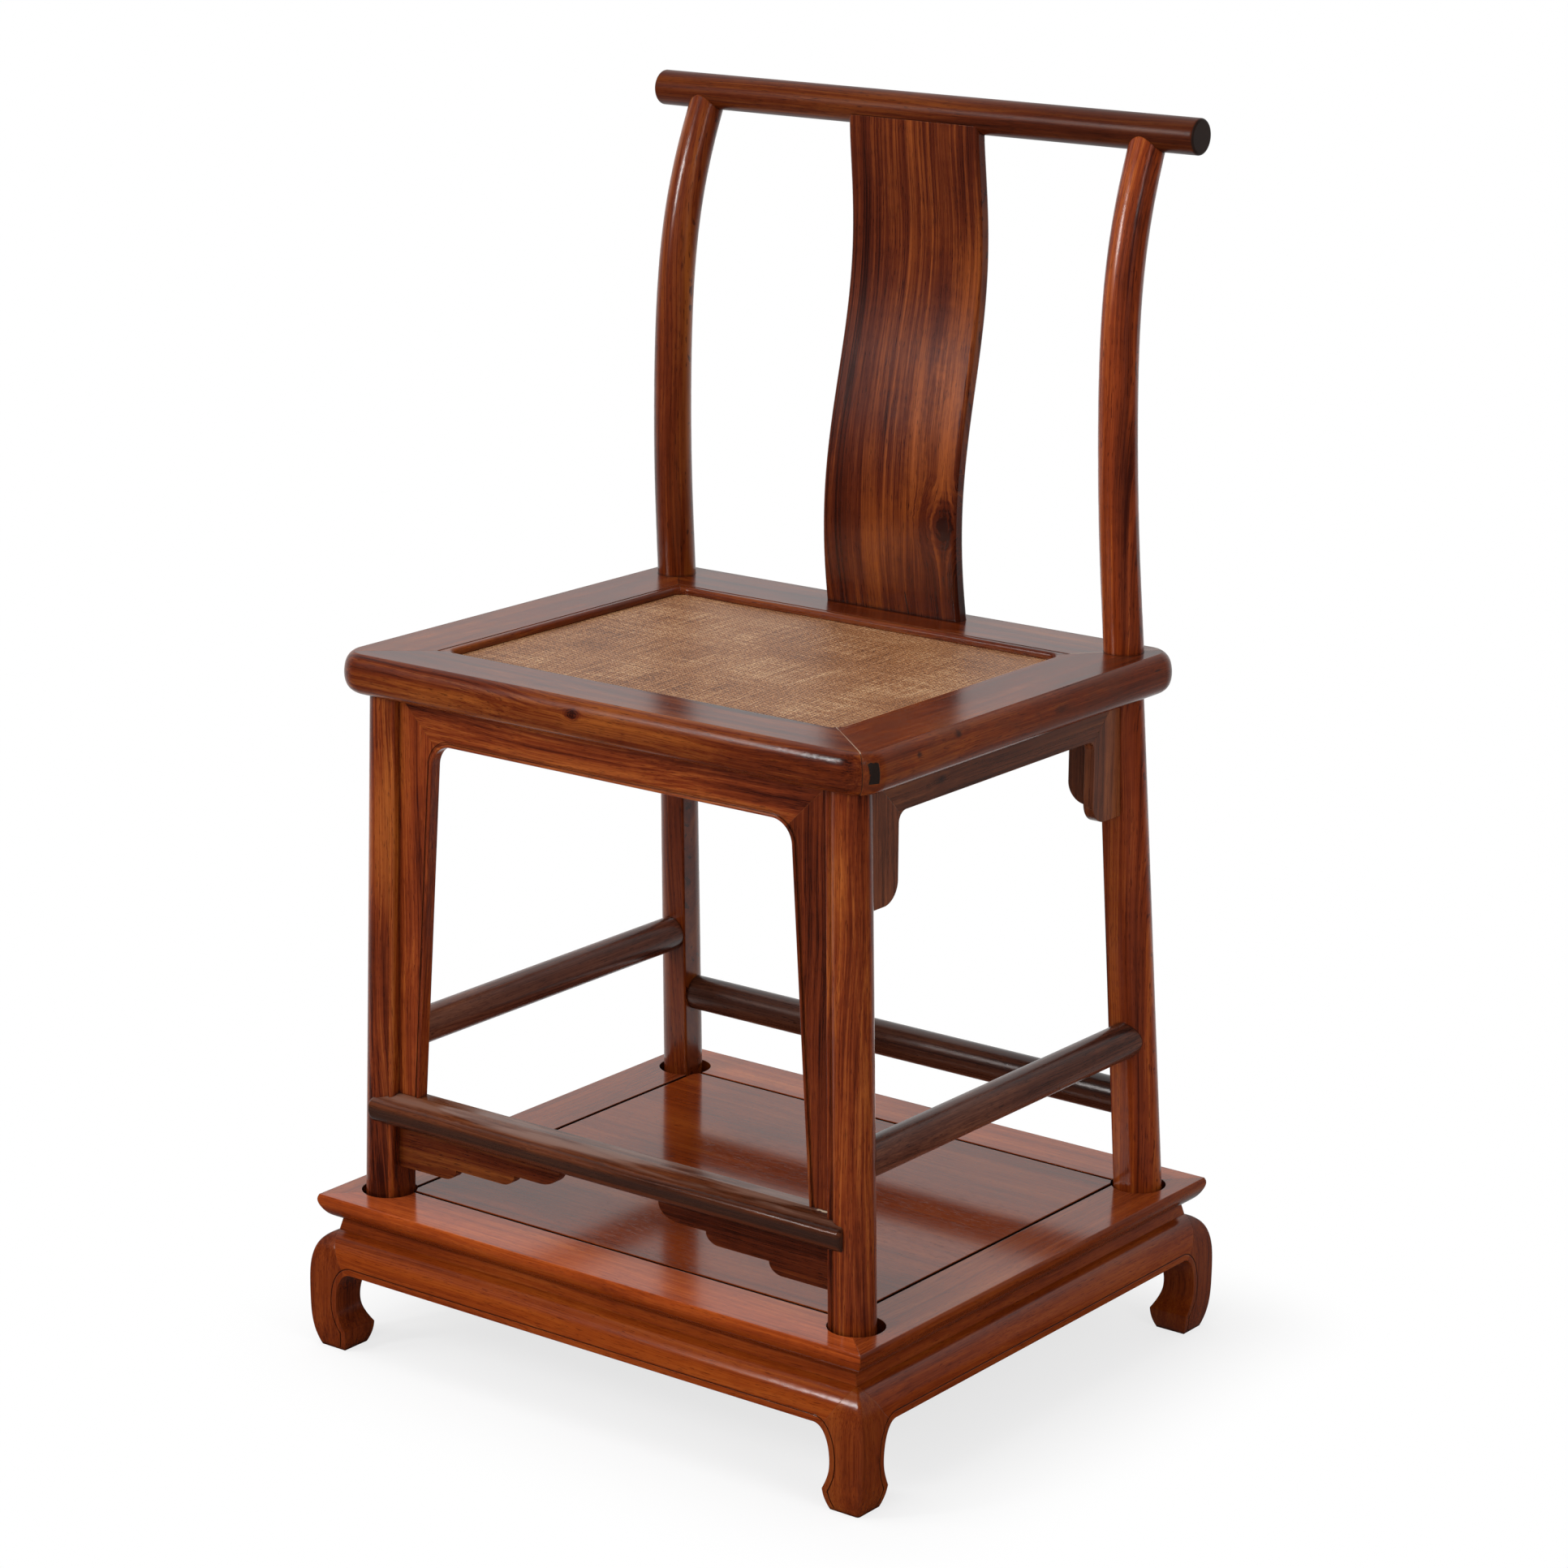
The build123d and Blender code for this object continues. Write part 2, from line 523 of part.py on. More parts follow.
def mitre_wedges(outer, inner):
    """What belongs to each side of a ring, up to mitres that run through the corners of two rectangles."""
    lines = {}
    for x_side, x in (("left", 0), ("right", 1)):
        for y_side, y in (("front", 2), ("rear", 3)):
            corner = Vector(outer[x], outer[y])
            way = corner - Vector(inner[x], inner[y])
            across = min(abs((outer[1] - outer[0]) / way.X), abs((outer[3] - outer[2]) / way.Y))
            depth = WEDGE_DEPTH * across
            lines[x_side, y_side] = (corner + way * (OVERRUN / way.length), corner - way * depth)
    ends = {
        "front": (("left", "front"), ("right", "front")),
        "rear": (("left", "rear"), ("right", "rear")),
        "left": (("left", "front"), ("left", "rear")),
        "right": (("right", "front"), ("right", "rear")),
    }
    wedges = {}
    for side, (a, b) in ends.items():
        outline = polygon(lines[a][0], lines[b][0], lines[b][1], lines[a][1])
        wedges[side] = along_z(outline, seat_bottom - OVERRUN, seat_top + OVERRUN)
    return wedges


def brace():
    """Bent brace between the front and rear seat rails, under the mat."""
    _, _, y_low, y_high = seat_opening(SEAT_LEDGE - BRACE_TENON)
    top = mat_bottom - BRACE_DROP
    curves = []
    for z in (top, top - BRACE_THICKNESS):
        curves.append(ThreePointArc((y_low, z), ((y_low + y_high) / 2, z - BRACE_SAG), (y_high, z)))
    upper, lower = curves
    band = make_face(upper + lower + Line(upper @ 0, lower @ 0) + Line(upper @ 1, lower @ 1))
    return along_x(band, BRACE_X - BRACE_WIDTH / 2, BRACE_X + BRACE_WIDTH / 2)


def through_tenons(slab):
    """Tenons of the front seat rail, which run through the side rails and show as end grain."""
    y_low = seat_front_y + THROUGH_TENON_INSET
    z_high = seat_top - THROUGH_TENON_DROP
    right = block(
        SEAT_HALF_WIDTH - THROUGH_TENON_LENGTH,
        SEAT_HALF_WIDTH + OVERRUN,
        y_low,
        y_low + THROUGH_TENON_WIDTH,
        z_high - THROUGH_TENON_HEIGHT,
        z_high,
    )
    return both_sides(right & slab)


def seat_rails(cut):
    """The mitred seat frame, by side, with the cut taken out."""
    slab = seat_slab()
    tenons = through_tenons(slab)
    slab -= block(*seat_opening(0), mat_bottom, seat_top + OVERRUN)
    slab -= block(*seat_opening(SEAT_LEDGE), seat_bottom - OVERRUN, mat_bottom)
    wedges = mitre_wedges((-SEAT_HALF_WIDTH, SEAT_HALF_WIDTH, seat_front_y, seat_rear_y), seat_opening(0))
    return {
        "front": (slab & wedges["front"]) + tenons - cut,
        "rear": (slab & wedges["rear"]) - cut,
        "left": (slab & wedges["left"]) - tenons - cut,
        "right": (slab & wedges["right"]) - tenons - cut,
    }


def seat_beads():
    """Strips, by side, that hold the mat down in the rails' rebate, rounded along their inner edges."""
    x_low, x_high, y_low, y_high = seat_opening(SEAT_BEAD_WIDTH)
    hole = Pos((x_low + x_high) / 2, (y_low + y_high) / 2) * RectangleRounded(
        x_high - x_low, y_high - y_low, OPENING_CORNER_RADIUS
    )
    top = seat_top - SEAT_BEAD_STEP
    ring = block(*seat_opening(0), mat_top, top) - along_z(hole, mat_top - OVERRUN, top + OVERRUN)
    strips = {}
    for side, wedge in mitre_wedges(seat_opening(0), seat_opening(SEAT_BEAD_WIDTH)).items():
        strip = ring & wedge
        inner = strip.edges().group_by(Axis.Z)[-1]
        inner = inner.filter_by_position(Axis.X, x_low - SLIGHT, x_high + SLIGHT)
        inner = inner.filter_by_position(Axis.Y, y_low - SLIGHT, y_high + SLIGHT)
        strips[side] = fillet(inner, SEAT_BEAD_ROUND)
    return strips


# ---------------------------------------------------------------- aprons under the seat
def beyond_mitre(inner, edge):
    """Everything outside the mitre that rises outwards from a head's inner corner, seen square on."""
    rise = seat_bottom - edge + OVERRUN
    far = 2 * SEAT_HALF_WIDTH
    return polygon(
        (inner - OVERRUN * SPANDREL_MITRE, edge - OVERRUN),
        (inner + rise * SPANDREL_MITRE, edge + rise),
        (far, edge + rise),
        (far, 0),
        (inner - OVERRUN * SPANDREL_MITRE, 0),
    )


def front_opening(grow):
    """The open space inside the front apron, made larger by grow, seen square on."""
    low = footrest_top - OVERRUN
    slope = (FRONT_OPENING_HEAD - FRONT_OPENING_FOOT) / (front_head_edge - footrest_top)
    top = SEAT_HALF_WIDTH - FRONT_OPENING_HEAD + grow
    foot = SEAT_HALF_WIDTH - FRONT_OPENING_FOOT + grow + slope * OVERRUN
    head = front_head_edge + grow
    outline = polygon((-foot, low), (foot, low), (top, head), (-top, head))
    return round_corners(outline, FRONT_OPENING_ROUND + grow, (top, head), (-top, head))


def front_board():
    """Front apron before its mitres are cut: a board with a raised bead round its opening."""
    corners = []
    for z in (seat_bottom, footrest_top - SPANDREL_HOUSING):
        x, _, radius = front_leg_at(z)
        corners.append((x - radius + EMBED, z))
    outline = polygon(*corners, *[(-x, z) for x, z in reversed(corners)])
    face = front_apron_face
    board = along_y(outline - front_opening(0), face, face + APRON_THICKNESS)
    hollow = (outline & front_opening(FRONT_BEAD + FRONT_GROOVE)) - front_opening(FRONT_BEAD)
    board -= along_y(hollow, face, face + FRONT_GROOVE_DEPTH)
    bead = along_y((outline & front_opening(FRONT_BEAD)) - front_opening(0), face - FRONT_BEAD_RISE, face)
    nose = [edge for edge in bead.edges().group_by(Axis.Y)[0] if edge.center().Z > corners[-1][1] + SLIGHT]
    return board + fillet(nose, FRONT_BEAD_RISE * FRONT_BEAD_FULLNESS)


def hung_face(outline, low, high):
    """Apron with a spandrel at each end, seen square on, from its outline and the ends of its opening."""
    cut = rectangle(low, high, spandrel_end - OVERRUN, side_head_edge)
    cut = round_corners(cut, SPANDREL_HEAD_ROUND, (low, side_head_edge), (high, side_head_edge))
    return round_corners(outline - cut, SPANDREL_END_ROUND, (low, spandrel_end), (high, spandrel_end))


def side_board():
    """Right side apron before its mitres are cut."""
    corners = []
    for z in (seat_bottom, spandrel_end):
        _, y_front, r_front = front_leg_at(z)
        _, y_rear, r_rear = rear_leg_at(z)
        corners.append((y_front + r_front - EMBED, y_rear - r_rear + EMBED, z))
    (a, b, top), (c, d, low) = corners
    outline = polygon((a, top), (b, top), (d, low), (c, low))
    face = hung_face(outline, seat_front_y + SIDE_OPENING_FRONT, seat_rear_y - SIDE_OPENING_REAR)
    return along_x(face, side_apron_face - APRON_THICKNESS, side_apron_face)


def rear_board():
    """Rear apron before its mitres are cut."""
    corners = []
    for z in (seat_bottom, spandrel_end):
        x, _, radius = rear_leg_at(z)
        corners.append((x - radius + EMBED, z))
    outline = polygon(*corners, *[(-x, z) for x, z in reversed(corners)])
    end = SEAT_HALF_WIDTH - REAR_OPENING_END
    face = hung_face(outline, -end, end)
    return along_y(face, rear_apron_face - APRON_THICKNESS, rear_apron_face)


# ---------------------------------------------------------------- stretchers and footrest
def side_stretcher_blanks():
    """Right side stretcher from leg axis to leg axis, and the bar whose ends are its tenons."""
    z = socket_floor + SIDE_STRETCHER_HEIGHT
    x_front, y_low, _ = front_leg_at(z)
    x_rear, y_high, _ = rear_leg_at(z)
    axis = Pos((x_front + x_rear) / 2, z)
    oval = axis * Ellipse(STRETCHER_HALF_WIDTH, STRETCHER_HALF_HEIGHT)
    core = axis * Rectangle(STRETCHER_TENON_WIDTH, STRETCHER_TENON_HEIGHT)
    reach = STRETCHER_TENON_REACH
    return along_y(oval, y_low, y_high), along_y(core, y_low - reach, y_high + reach)


def rear_stretcher_blanks():
    """Rear stretcher from leg axis to leg axis, and the bar whose ends are its tenons."""
    z = socket_floor + REAR_STRETCHER_HEIGHT
    x, y, _ = rear_leg_at(z)
    oval = Pos(y, z) * Ellipse(STRETCHER_HALF_WIDTH, STRETCHER_HALF_HEIGHT)
    core = Pos(y, z) * Rectangle(STRETCHER_TENON_WIDTH, STRETCHER_TENON_HEIGHT)
    reach = x + STRETCHER_TENON_REACH
    return along_x(oval, -x, x), along_x(core, -reach, reach)


def footrest_blank():
    """Footrest with a crowned top, a square nose and an undercut below it."""
    y = seat_front_y - FOOTREST_PROUD
    back = y + FOOTREST_DEPTH
    crown = [(y + into, footrest_top - drop) for into, drop in FOOTREST_CROWN]
    under = [(y + into, footrest_top - share * FOOTREST_THICKNESS) for into, share in FOOTREST_UNDERCUT]
    outline = Line((back, footrest_top), crown[0]) + Spline(*crown) + Line(crown[-1], under[0])
    outline += ThreePointArc(*under)
    outline += Polyline(under[-1], (back, footrest_bottom), (back, footrest_top))
    bar = along_x(make_face(outline), -footrest_half_length, footrest_half_length)
    ends = bar.faces().sort_by(Axis.X)
    return fillet(ends[0].edges() + ends[-1].edges(), FOOTREST_END_ROUND)


def footrest_apron():
    """Board under the footrest, with a lower edge that steps up towards the middle in rounded lobes."""
    middle = footrest_bottom - FOOTREST_APRON_MIDDLE
    x, z = 0, middle
    edge = Curve()
    for into, run, depth in reversed(FOOTREST_APRON_STEPS):
        cusp = footrest_half_length - into
        lower = footrest_bottom - depth
        edge += Line((x, z), (cusp, z))
        edge += EllipticalCenterArc((cusp + run, z), run, z - lower, 180, arc_size=90)
        x, z = cusp + run, lower
    leg_x, _, radius = front_leg_at(z)
    outer = leg_x - radius + EMBED
    edge += Polyline((x, z), (outer, z), (outer, footrest_bottom), (0, footrest_bottom), (0, middle))
    half = along_y(make_face(edge), front_apron_face, front_apron_face + APRON_THICKNESS)
    return both_sides(half)


# ---------------------------------------------------------------- assembly
def stand_nodes():
    front, right, leg = stand_base()
    nodes = {"stand_panel": panel(), "stand_leg_front_right": leg, "stand_batten_right": batten()}
    nodes["stand_batten_left"] = mirror(nodes["stand_batten_right"], about=Plane.YZ)
    nodes["stand_leg_front_left"] = mirror(leg, about=Plane.YZ)
    nodes["stand_leg_rear_right"] = mirror(leg, about=Plane.XZ)
    nodes["stand_leg_rear_left"] = mirror(nodes["stand_leg_front_left"], about=Plane.XZ)
    nodes["stand_apron_front"] = front
    nodes["stand_apron_rear"] = mirror(front, about=Plane.XZ)
    nodes["stand_apron_right"] = right
    nodes["stand_apron_left"] = mirror(right, about=Plane.YZ)
    for side, bar in stand_members(frame_face(), sockets()).items():
        nodes["stand_frame_" + side] = bar
    for side, bar in stand_members(waist_face(), batten()).items():
        nodes["stand_waist_" + side] = bar
    return nodes


def add_apron(nodes, names, board, turn, ends, edge):
    """Split a board at its two mitres into a spandrel at each end and the head between them."""
    low_name, head_name, high_name = names
    low_end, high_end = ends
    far = 2 * SEAT_HALF_WIDTH
    low_cut = turn(mirror(beyond_mitre(-low_end, edge), about=Plane.YZ), -far, far)
    high_cut = turn(beyond_mitre(high_end, edge), -far, far)
    nodes[low_name] = board & low_cut
    nodes[high_name] = board & high_cut
    nodes[head_name] = board - low_cut - high_cut


def chair_nodes():
    front_leg = front_leg_blank()
    rear_leg = rear_leg_blank()
    crest = crest_blank() - both_sides(stile_tenon())
    splat = splat_blank() - crest
    front = front_board()
    side = side_board()
    rear = rear_board()
    side_rod, side_tenons = side_stretcher_blanks()
    rear_rod, rear_tenons = rear_stretcher_blanks()
    foot_board = footrest_apron()

    nodes = {"crest_rail": crest, "back_splat": splat}
    nodes["side_stretcher_right"] = side_rod - front_leg - rear_leg + side_tenons
    nodes["rear_stretcher"] = rear_rod - both_sides(rear_leg) + rear_tenons
    nodes["footrest"] = footrest_blank() - both_sides(front_leg) - front
    nodes["footrest_apron"] = foot_board
    nodes["front_leg_right"] = front_leg - front - side - side_tenons - foot_board
    rear_leg_cuts = [side, rear, side_tenons, rear_tenons, crest_blank()]
    nodes["rear_leg_right"] = rear_leg - rear_leg_cuts + stile_tenon()
    nodes["seat_brace_right"] = brace()
    nodes["seat_mat"] = block(*seat_opening(0), mat_bottom, mat_top)

    front_end = SEAT_HALF_WIDTH - FRONT_OPENING_HEAD
    rear_end = SEAT_HALF_WIDTH - REAR_OPENING_END
    side_ends = (seat_front_y + SIDE_OPENING_FRONT, seat_rear_y - SIDE_OPENING_REAR)
    front_names = ("front_spandrel_left", "front_apron_head", "front_spandrel_right")
    rear_names = ("rear_spandrel_left", "rear_apron_head", "rear_spandrel_right")
    side_names = ("right_spandrel_front", "right_apron_head", "right_spandrel_rear")
    add_apron(nodes, front_names, front, along_y, (-front_end, front_end), front_head_edge)
    add_apron(nodes, rear_names, rear, along_y, (-rear_end, rear_end), side_head_edge)
    add_apron(nodes, side_names, side, along_x, side_ends, side_head_edge)
    for name in ("spandrel_front", "apron_head", "spandrel_rear"):
        nodes["left_" + name] = mirror(nodes["right_" + name], about=Plane.YZ)
    for name in ("side_stretcher", "front_leg", "rear_leg", "seat_brace"):
        nodes[name + "_left"] = mirror(nodes[name + "_right"], about=Plane.YZ)

    cut = both_sides(front_leg + rear_leg + brace()) + splat
    for part_side, rail in seat_rails(cut).items():
        nodes["seat_rail_" + part_side] = rail
    for part_side, strip in seat_beads().items():
        nodes["seat_bead_" + part_side] = strip
    return nodes


def main():
    os.makedirs("parts", exist_ok=True)
    for name, shape in (stand_nodes() | chair_nodes()).items():
        export_step(shape, "parts/" + name + ".step")


if __name__ == "__main__":
    main()
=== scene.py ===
import math

import bmesh
import bpy
from mathutils import Matrix, Vector


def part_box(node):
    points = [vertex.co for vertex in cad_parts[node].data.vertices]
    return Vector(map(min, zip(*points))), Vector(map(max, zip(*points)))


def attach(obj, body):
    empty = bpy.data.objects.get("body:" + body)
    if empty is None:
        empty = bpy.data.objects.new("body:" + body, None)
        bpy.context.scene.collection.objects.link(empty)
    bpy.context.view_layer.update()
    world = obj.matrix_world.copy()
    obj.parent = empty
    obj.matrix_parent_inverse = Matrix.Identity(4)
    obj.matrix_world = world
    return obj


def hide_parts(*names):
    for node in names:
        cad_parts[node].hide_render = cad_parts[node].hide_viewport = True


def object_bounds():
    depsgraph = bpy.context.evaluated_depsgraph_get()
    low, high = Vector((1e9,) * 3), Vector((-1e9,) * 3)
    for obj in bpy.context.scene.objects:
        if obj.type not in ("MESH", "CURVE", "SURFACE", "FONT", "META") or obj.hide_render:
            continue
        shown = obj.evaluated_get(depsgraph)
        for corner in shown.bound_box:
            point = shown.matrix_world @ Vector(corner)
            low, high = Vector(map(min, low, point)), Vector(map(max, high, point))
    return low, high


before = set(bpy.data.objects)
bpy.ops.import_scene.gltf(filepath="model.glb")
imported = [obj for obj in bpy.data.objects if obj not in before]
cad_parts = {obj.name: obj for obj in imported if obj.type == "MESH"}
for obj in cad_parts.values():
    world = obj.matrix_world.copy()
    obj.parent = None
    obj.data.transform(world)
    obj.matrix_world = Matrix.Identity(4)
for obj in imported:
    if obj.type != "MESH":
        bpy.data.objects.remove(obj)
cad_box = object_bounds()

# Metres, +Z up; the chair faces -Y and left is -X. Colours are linear.
ALONG_X, ALONG_Y, ALONG_Z = 0, 1, 2

# ---------------------------------------------------------------- camera
CAMERA_AZIMUTH = 37.156         # degrees from the front towards +X
CAMERA_ELEVATION = 15.349
CAMERA_ROLL = 0.416
CAMERA_DISTANCE = 3.8362        # to the aim point
CAMERA_AIM = (0.01821, 0.0, 0.52167)
CAMERA_CLIP = (0.05, 50.0)
CAMERA_LENS = 100.574           # millimetres
SENSOR_WIDTH = 36.0             # millimetres

# ---------------------------------------------------------------- stage
FLOOR_RADIUS = 6.0
FLOOR_SIDES = 96
FLOOR_FADE = (-0.02, 0.15)      # where the lit floor turns plain white, out from the stand
FLOOR_COLOUR = (0.86, 0.86, 0.86)
FLOOR_SHADOW = 0.27             # share of the lit floor that the camera sees near the stand
WHITE = (1.0, 1.0, 1.0)
WORLD_LIGHT = 0.42              # what the surroundings give besides the lamps
BACKDROP_WAY = (-0.604, 0.797)  # towards the white backdrop, on plan
BACKDROP_SPAN = (-0.10, 1.0)    # cosines of the angle to it where its reflection begins and is full
BACKDROP_SHINE = (0.012, 0.80)  # brightness of reflections away from it and of the backdrop itself
# name: (place, aim, size, watts, whether reflections show it)
LAMPS = {
    "overhead": ((-0.3, -0.4, 3.4), (0.0, 0.0, 0.2), (2.2, 2.2), 40.0, False),
    "left_window": ((-2.3, -2.2, 1.9), (0.0, 0.0, 0.6), (0.8, 1.8), 28.0, False),
    "right_window": ((2.9, -0.9, 1.6), (0.0, 0.0, 0.6), (0.8, 1.8), 20.0, False),
    "front_fill": ((0.9, -3.6, 2.0), (0.0, 0.0, 0.5), (2.4, 1.4), 40.0, False),
    "highlight_left": ((-1.4, -2.6, 2.1), (0.0, 0.0, 0.8), (0.34, 0.8), 31.0, True),
    "highlight_right": ((2.6, -1.6, 2.4), (0.0, 0.0, 0.8), (0.25, 0.6), 2.5, True),
}

# ---------------------------------------------------------------- colours
# name: (dark, middle, light)
TONES = {
    "chair": ((0.034, 0.0046, 0.0018), (0.162, 0.0245, 0.0044), (0.360, 0.0900, 0.0130)),
    "splat": ((0.018, 0.0027, 0.0015), (0.076, 0.0116, 0.0029), (0.245, 0.0560, 0.0085)),
    "brown": ((0.028, 0.0070, 0.0030), (0.100, 0.0250, 0.0085), (0.220, 0.0680, 0.0200)),
    "dark": ((0.014, 0.0050, 0.0040), (0.068, 0.0200, 0.0110), (0.150, 0.0520, 0.0260)),
    "stand": ((0.060, 0.0076, 0.0018), (0.168, 0.0265, 0.0034), (0.272, 0.0610, 0.0080)),
}
END_GRAIN = (0.016, 0.010, 0.008)
CORNER_DIRT_AND_SHADE = (0.012, 0.004, 0.003)
GAP_SHADE = (0.004, 0.002, 0.002)        # painted shade in the gap around the stand's panel
FILLER = (0.52, 0.40, 0.28)             # pale, in open joints
RAIL_BROWN = (0.080, 0.0220, 0.0100)
RAIL_MARK = (0.020, 0.008, 0.006)
APRON_MARK = (0.016, 0.006, 0.005)
CREST_DARK = (0.024, 0.0060, 0.0030)
FOOTREST_WORN = (0.200, 0.1050, 0.0760)
FOOTREST_RIM = (0.022, 0.0110, 0.0085)
FRAME_TOP_PAINTED_LIGHT = (1.60, 1.80, 2.60)     # factors on the tones of the stand's frame: painted light on its top, painted shade on its moulded edge
FRAME_EDGE_PAINTED_SHADE = (0.40, 0.29, 0.16)

# ---------------------------------------------------------------- figure of the wood
# name: (cells per metre across the grain and along it, detail, weight)
LAYERS = {
    "patch": ((14.0, 3.0), 3.0, 0.80),
    "broad": ((70.0, 1.0), 3.0, 0.75),
    "line": ((330.0, 2.2), 3.0, 0.65),
    "fine": ((1400.0, 9.0), 2.0, 0.50),
    "ripple": ((30.0, 60.0), 3.0, 0.12),
}
STILL_LAYERS = ("patch", "ripple")      # don't wander with the streaks
STREAK_LAYERS = ("broad", "line")       # stronger or weaker from piece to piece
LAYER_ROUGHNESS = 0.6
TONE_STOPS = (0.18, 0.48, 0.84)         # depths of figure with the dark, middle and light tone
SWAY_CELLS = (6.0, 2.4)
SWAY_REACH = 0.030                      # how far streaks wander sideways
BENT_SHARE = 0.06                       # what figure feels of a place along the axis of a bend
PORE_CELLS = (1700.0, 90.0)
PORE_SHIFT = 5.0
PORE_SPAN = (0.60, 0.68)
PORE_DARKNESS = 0.70
PORE_DEPTH = 0.0003
BUMP_STRENGTH = 0.05
FINE_RELIEF = 0.25                      # height of the fine layer, as a share of a pore's depth
GLOSS_SPREAD = 0.08                     # change of roughness from line to line
EDGE_RADIUS = 0.0010
EDGE_TURN = (0.97, 0.82)                # cosines where the wear and painted highlight of an arris begin and are full
EDGE_WEAR_AND_HIGHLIGHT = 0.30
CORNER_REACH = 0.005
CORNER_SPAN = (0.25, 0.80)              # open share of the air where the dirt and painted shade is full and gone
CORNER_SHARE = 0.93

# Lighter and darker places: centre, reach along each axis, and how much lighter.
FIGURE = {
    "back_splat": (
        ((0.066, 0.205, 0.935), (0.042, 0.10, 0.120), 0.17),
        ((0.046, 0.180, 0.795), (0.044, 0.10, 0.100), 0.22),
        ((0.014, 0.190, 0.870), (0.032, 0.10, 0.090), 0.08),
        ((-0.080, 0.190, 0.850), (0.065, 0.20, 0.320), -0.05),
        ((0.010, 0.190, 0.650), (0.110, 0.10, 0.055), -0.10),
    ),
    "rail_front": (
        ((0.016, -0.2485, 0.631), (0.030, 0.02, 0.012), 0.12),
        ((0.100, -0.2485, 0.620), (0.070, 0.02, 0.014), 0.08),
        ((-0.190, -0.2485, 0.620), (0.060, 0.02, 0.014), 0.06),
        ((-0.060, -0.2485, 0.618), (0.050, 0.02, 0.012), -0.10),
    ),
    "leg_left": (
        ((-0.262, -0.220, 0.470), (0.035, 0.04, 0.090), 0.12),
        ((-0.268, -0.220, 0.250), (0.035, 0.04, 0.080), 0.08),
        ((-0.240, -0.235, 0.400), (0.018, 0.03, 0.150), -0.10),
        ((-0.262, -0.220, 0.570), (0.040, 0.05, 0.060), -0.16),
        ((-0.270, -0.220, 0.350), (0.030, 0.05, 0.060), -0.10),
    ),
    "leg_right": (
        ((0.252, -0.245, 0.530), (0.040, 0.04, 0.070), 0.14),
        ((0.262, -0.245, 0.300), (0.040, 0.04, 0.100), 0.12),
    ),
}
MARK_CELLS = 160.0                      # per metre, of the uneven outline of a place, knot or mark
FIGURE_UNEVEN = 0.5                     # how uneven the outline of a place or knot is
FIGURE_SPAN = (0.0, 1.1)                # shares of the reach where a place is full and gone

# Knots: centre, and reach along each axis.
KNOTS = {
    "back_splat": ((0.0600, 0.184, 0.730), (0.015, 0.1, 0.021)),
    "rail_front": ((-0.0155, -0.2485, 0.6285), (0.0070, 0.02, 0.0045)),
}
# What a knot does: shares of the reach where it is full and gone, and its strength.
KNOT_PINCH = (0.3, 2.6, 0.85)
KNOT_RINGS = (0.4, 2.2, 0.07)
KNOT_CORE = (0.0, 1.7, 0.42)
KNOT_RING_RATE = 17.0

MARK_UNEVEN = 0.9
MARK_SPAN = (0.1, 0.9)                  # shares of the reach where a mark is full and gone
# Dark marks: centre, reach along each axis, and strength.
RAIL_MARKS = (
    ((0.287, -0.1748, 0.6296), (0.02, 0.0055, 0.0040), 0.80),
    ((0.287, -0.1171, 0.6353), (0.02, 0.0080, 0.0050), 0.75),
    ((0.287, 0.1813, 0.6310), (0.02, 0.0120, 0.0016), 0.85),
    ((0.287, 0.0300, 0.6260), (0.02, 0.0140, 0.0060), 0.50),
)
APRON_MARKS = (
    ((0.256, -0.0990, 0.5878), (0.02, 0.0110, 0.0050), 0.70),
    ((0.256, 0.1264, 0.5615), (0.02, 0.0130, 0.0060), 0.70),
)


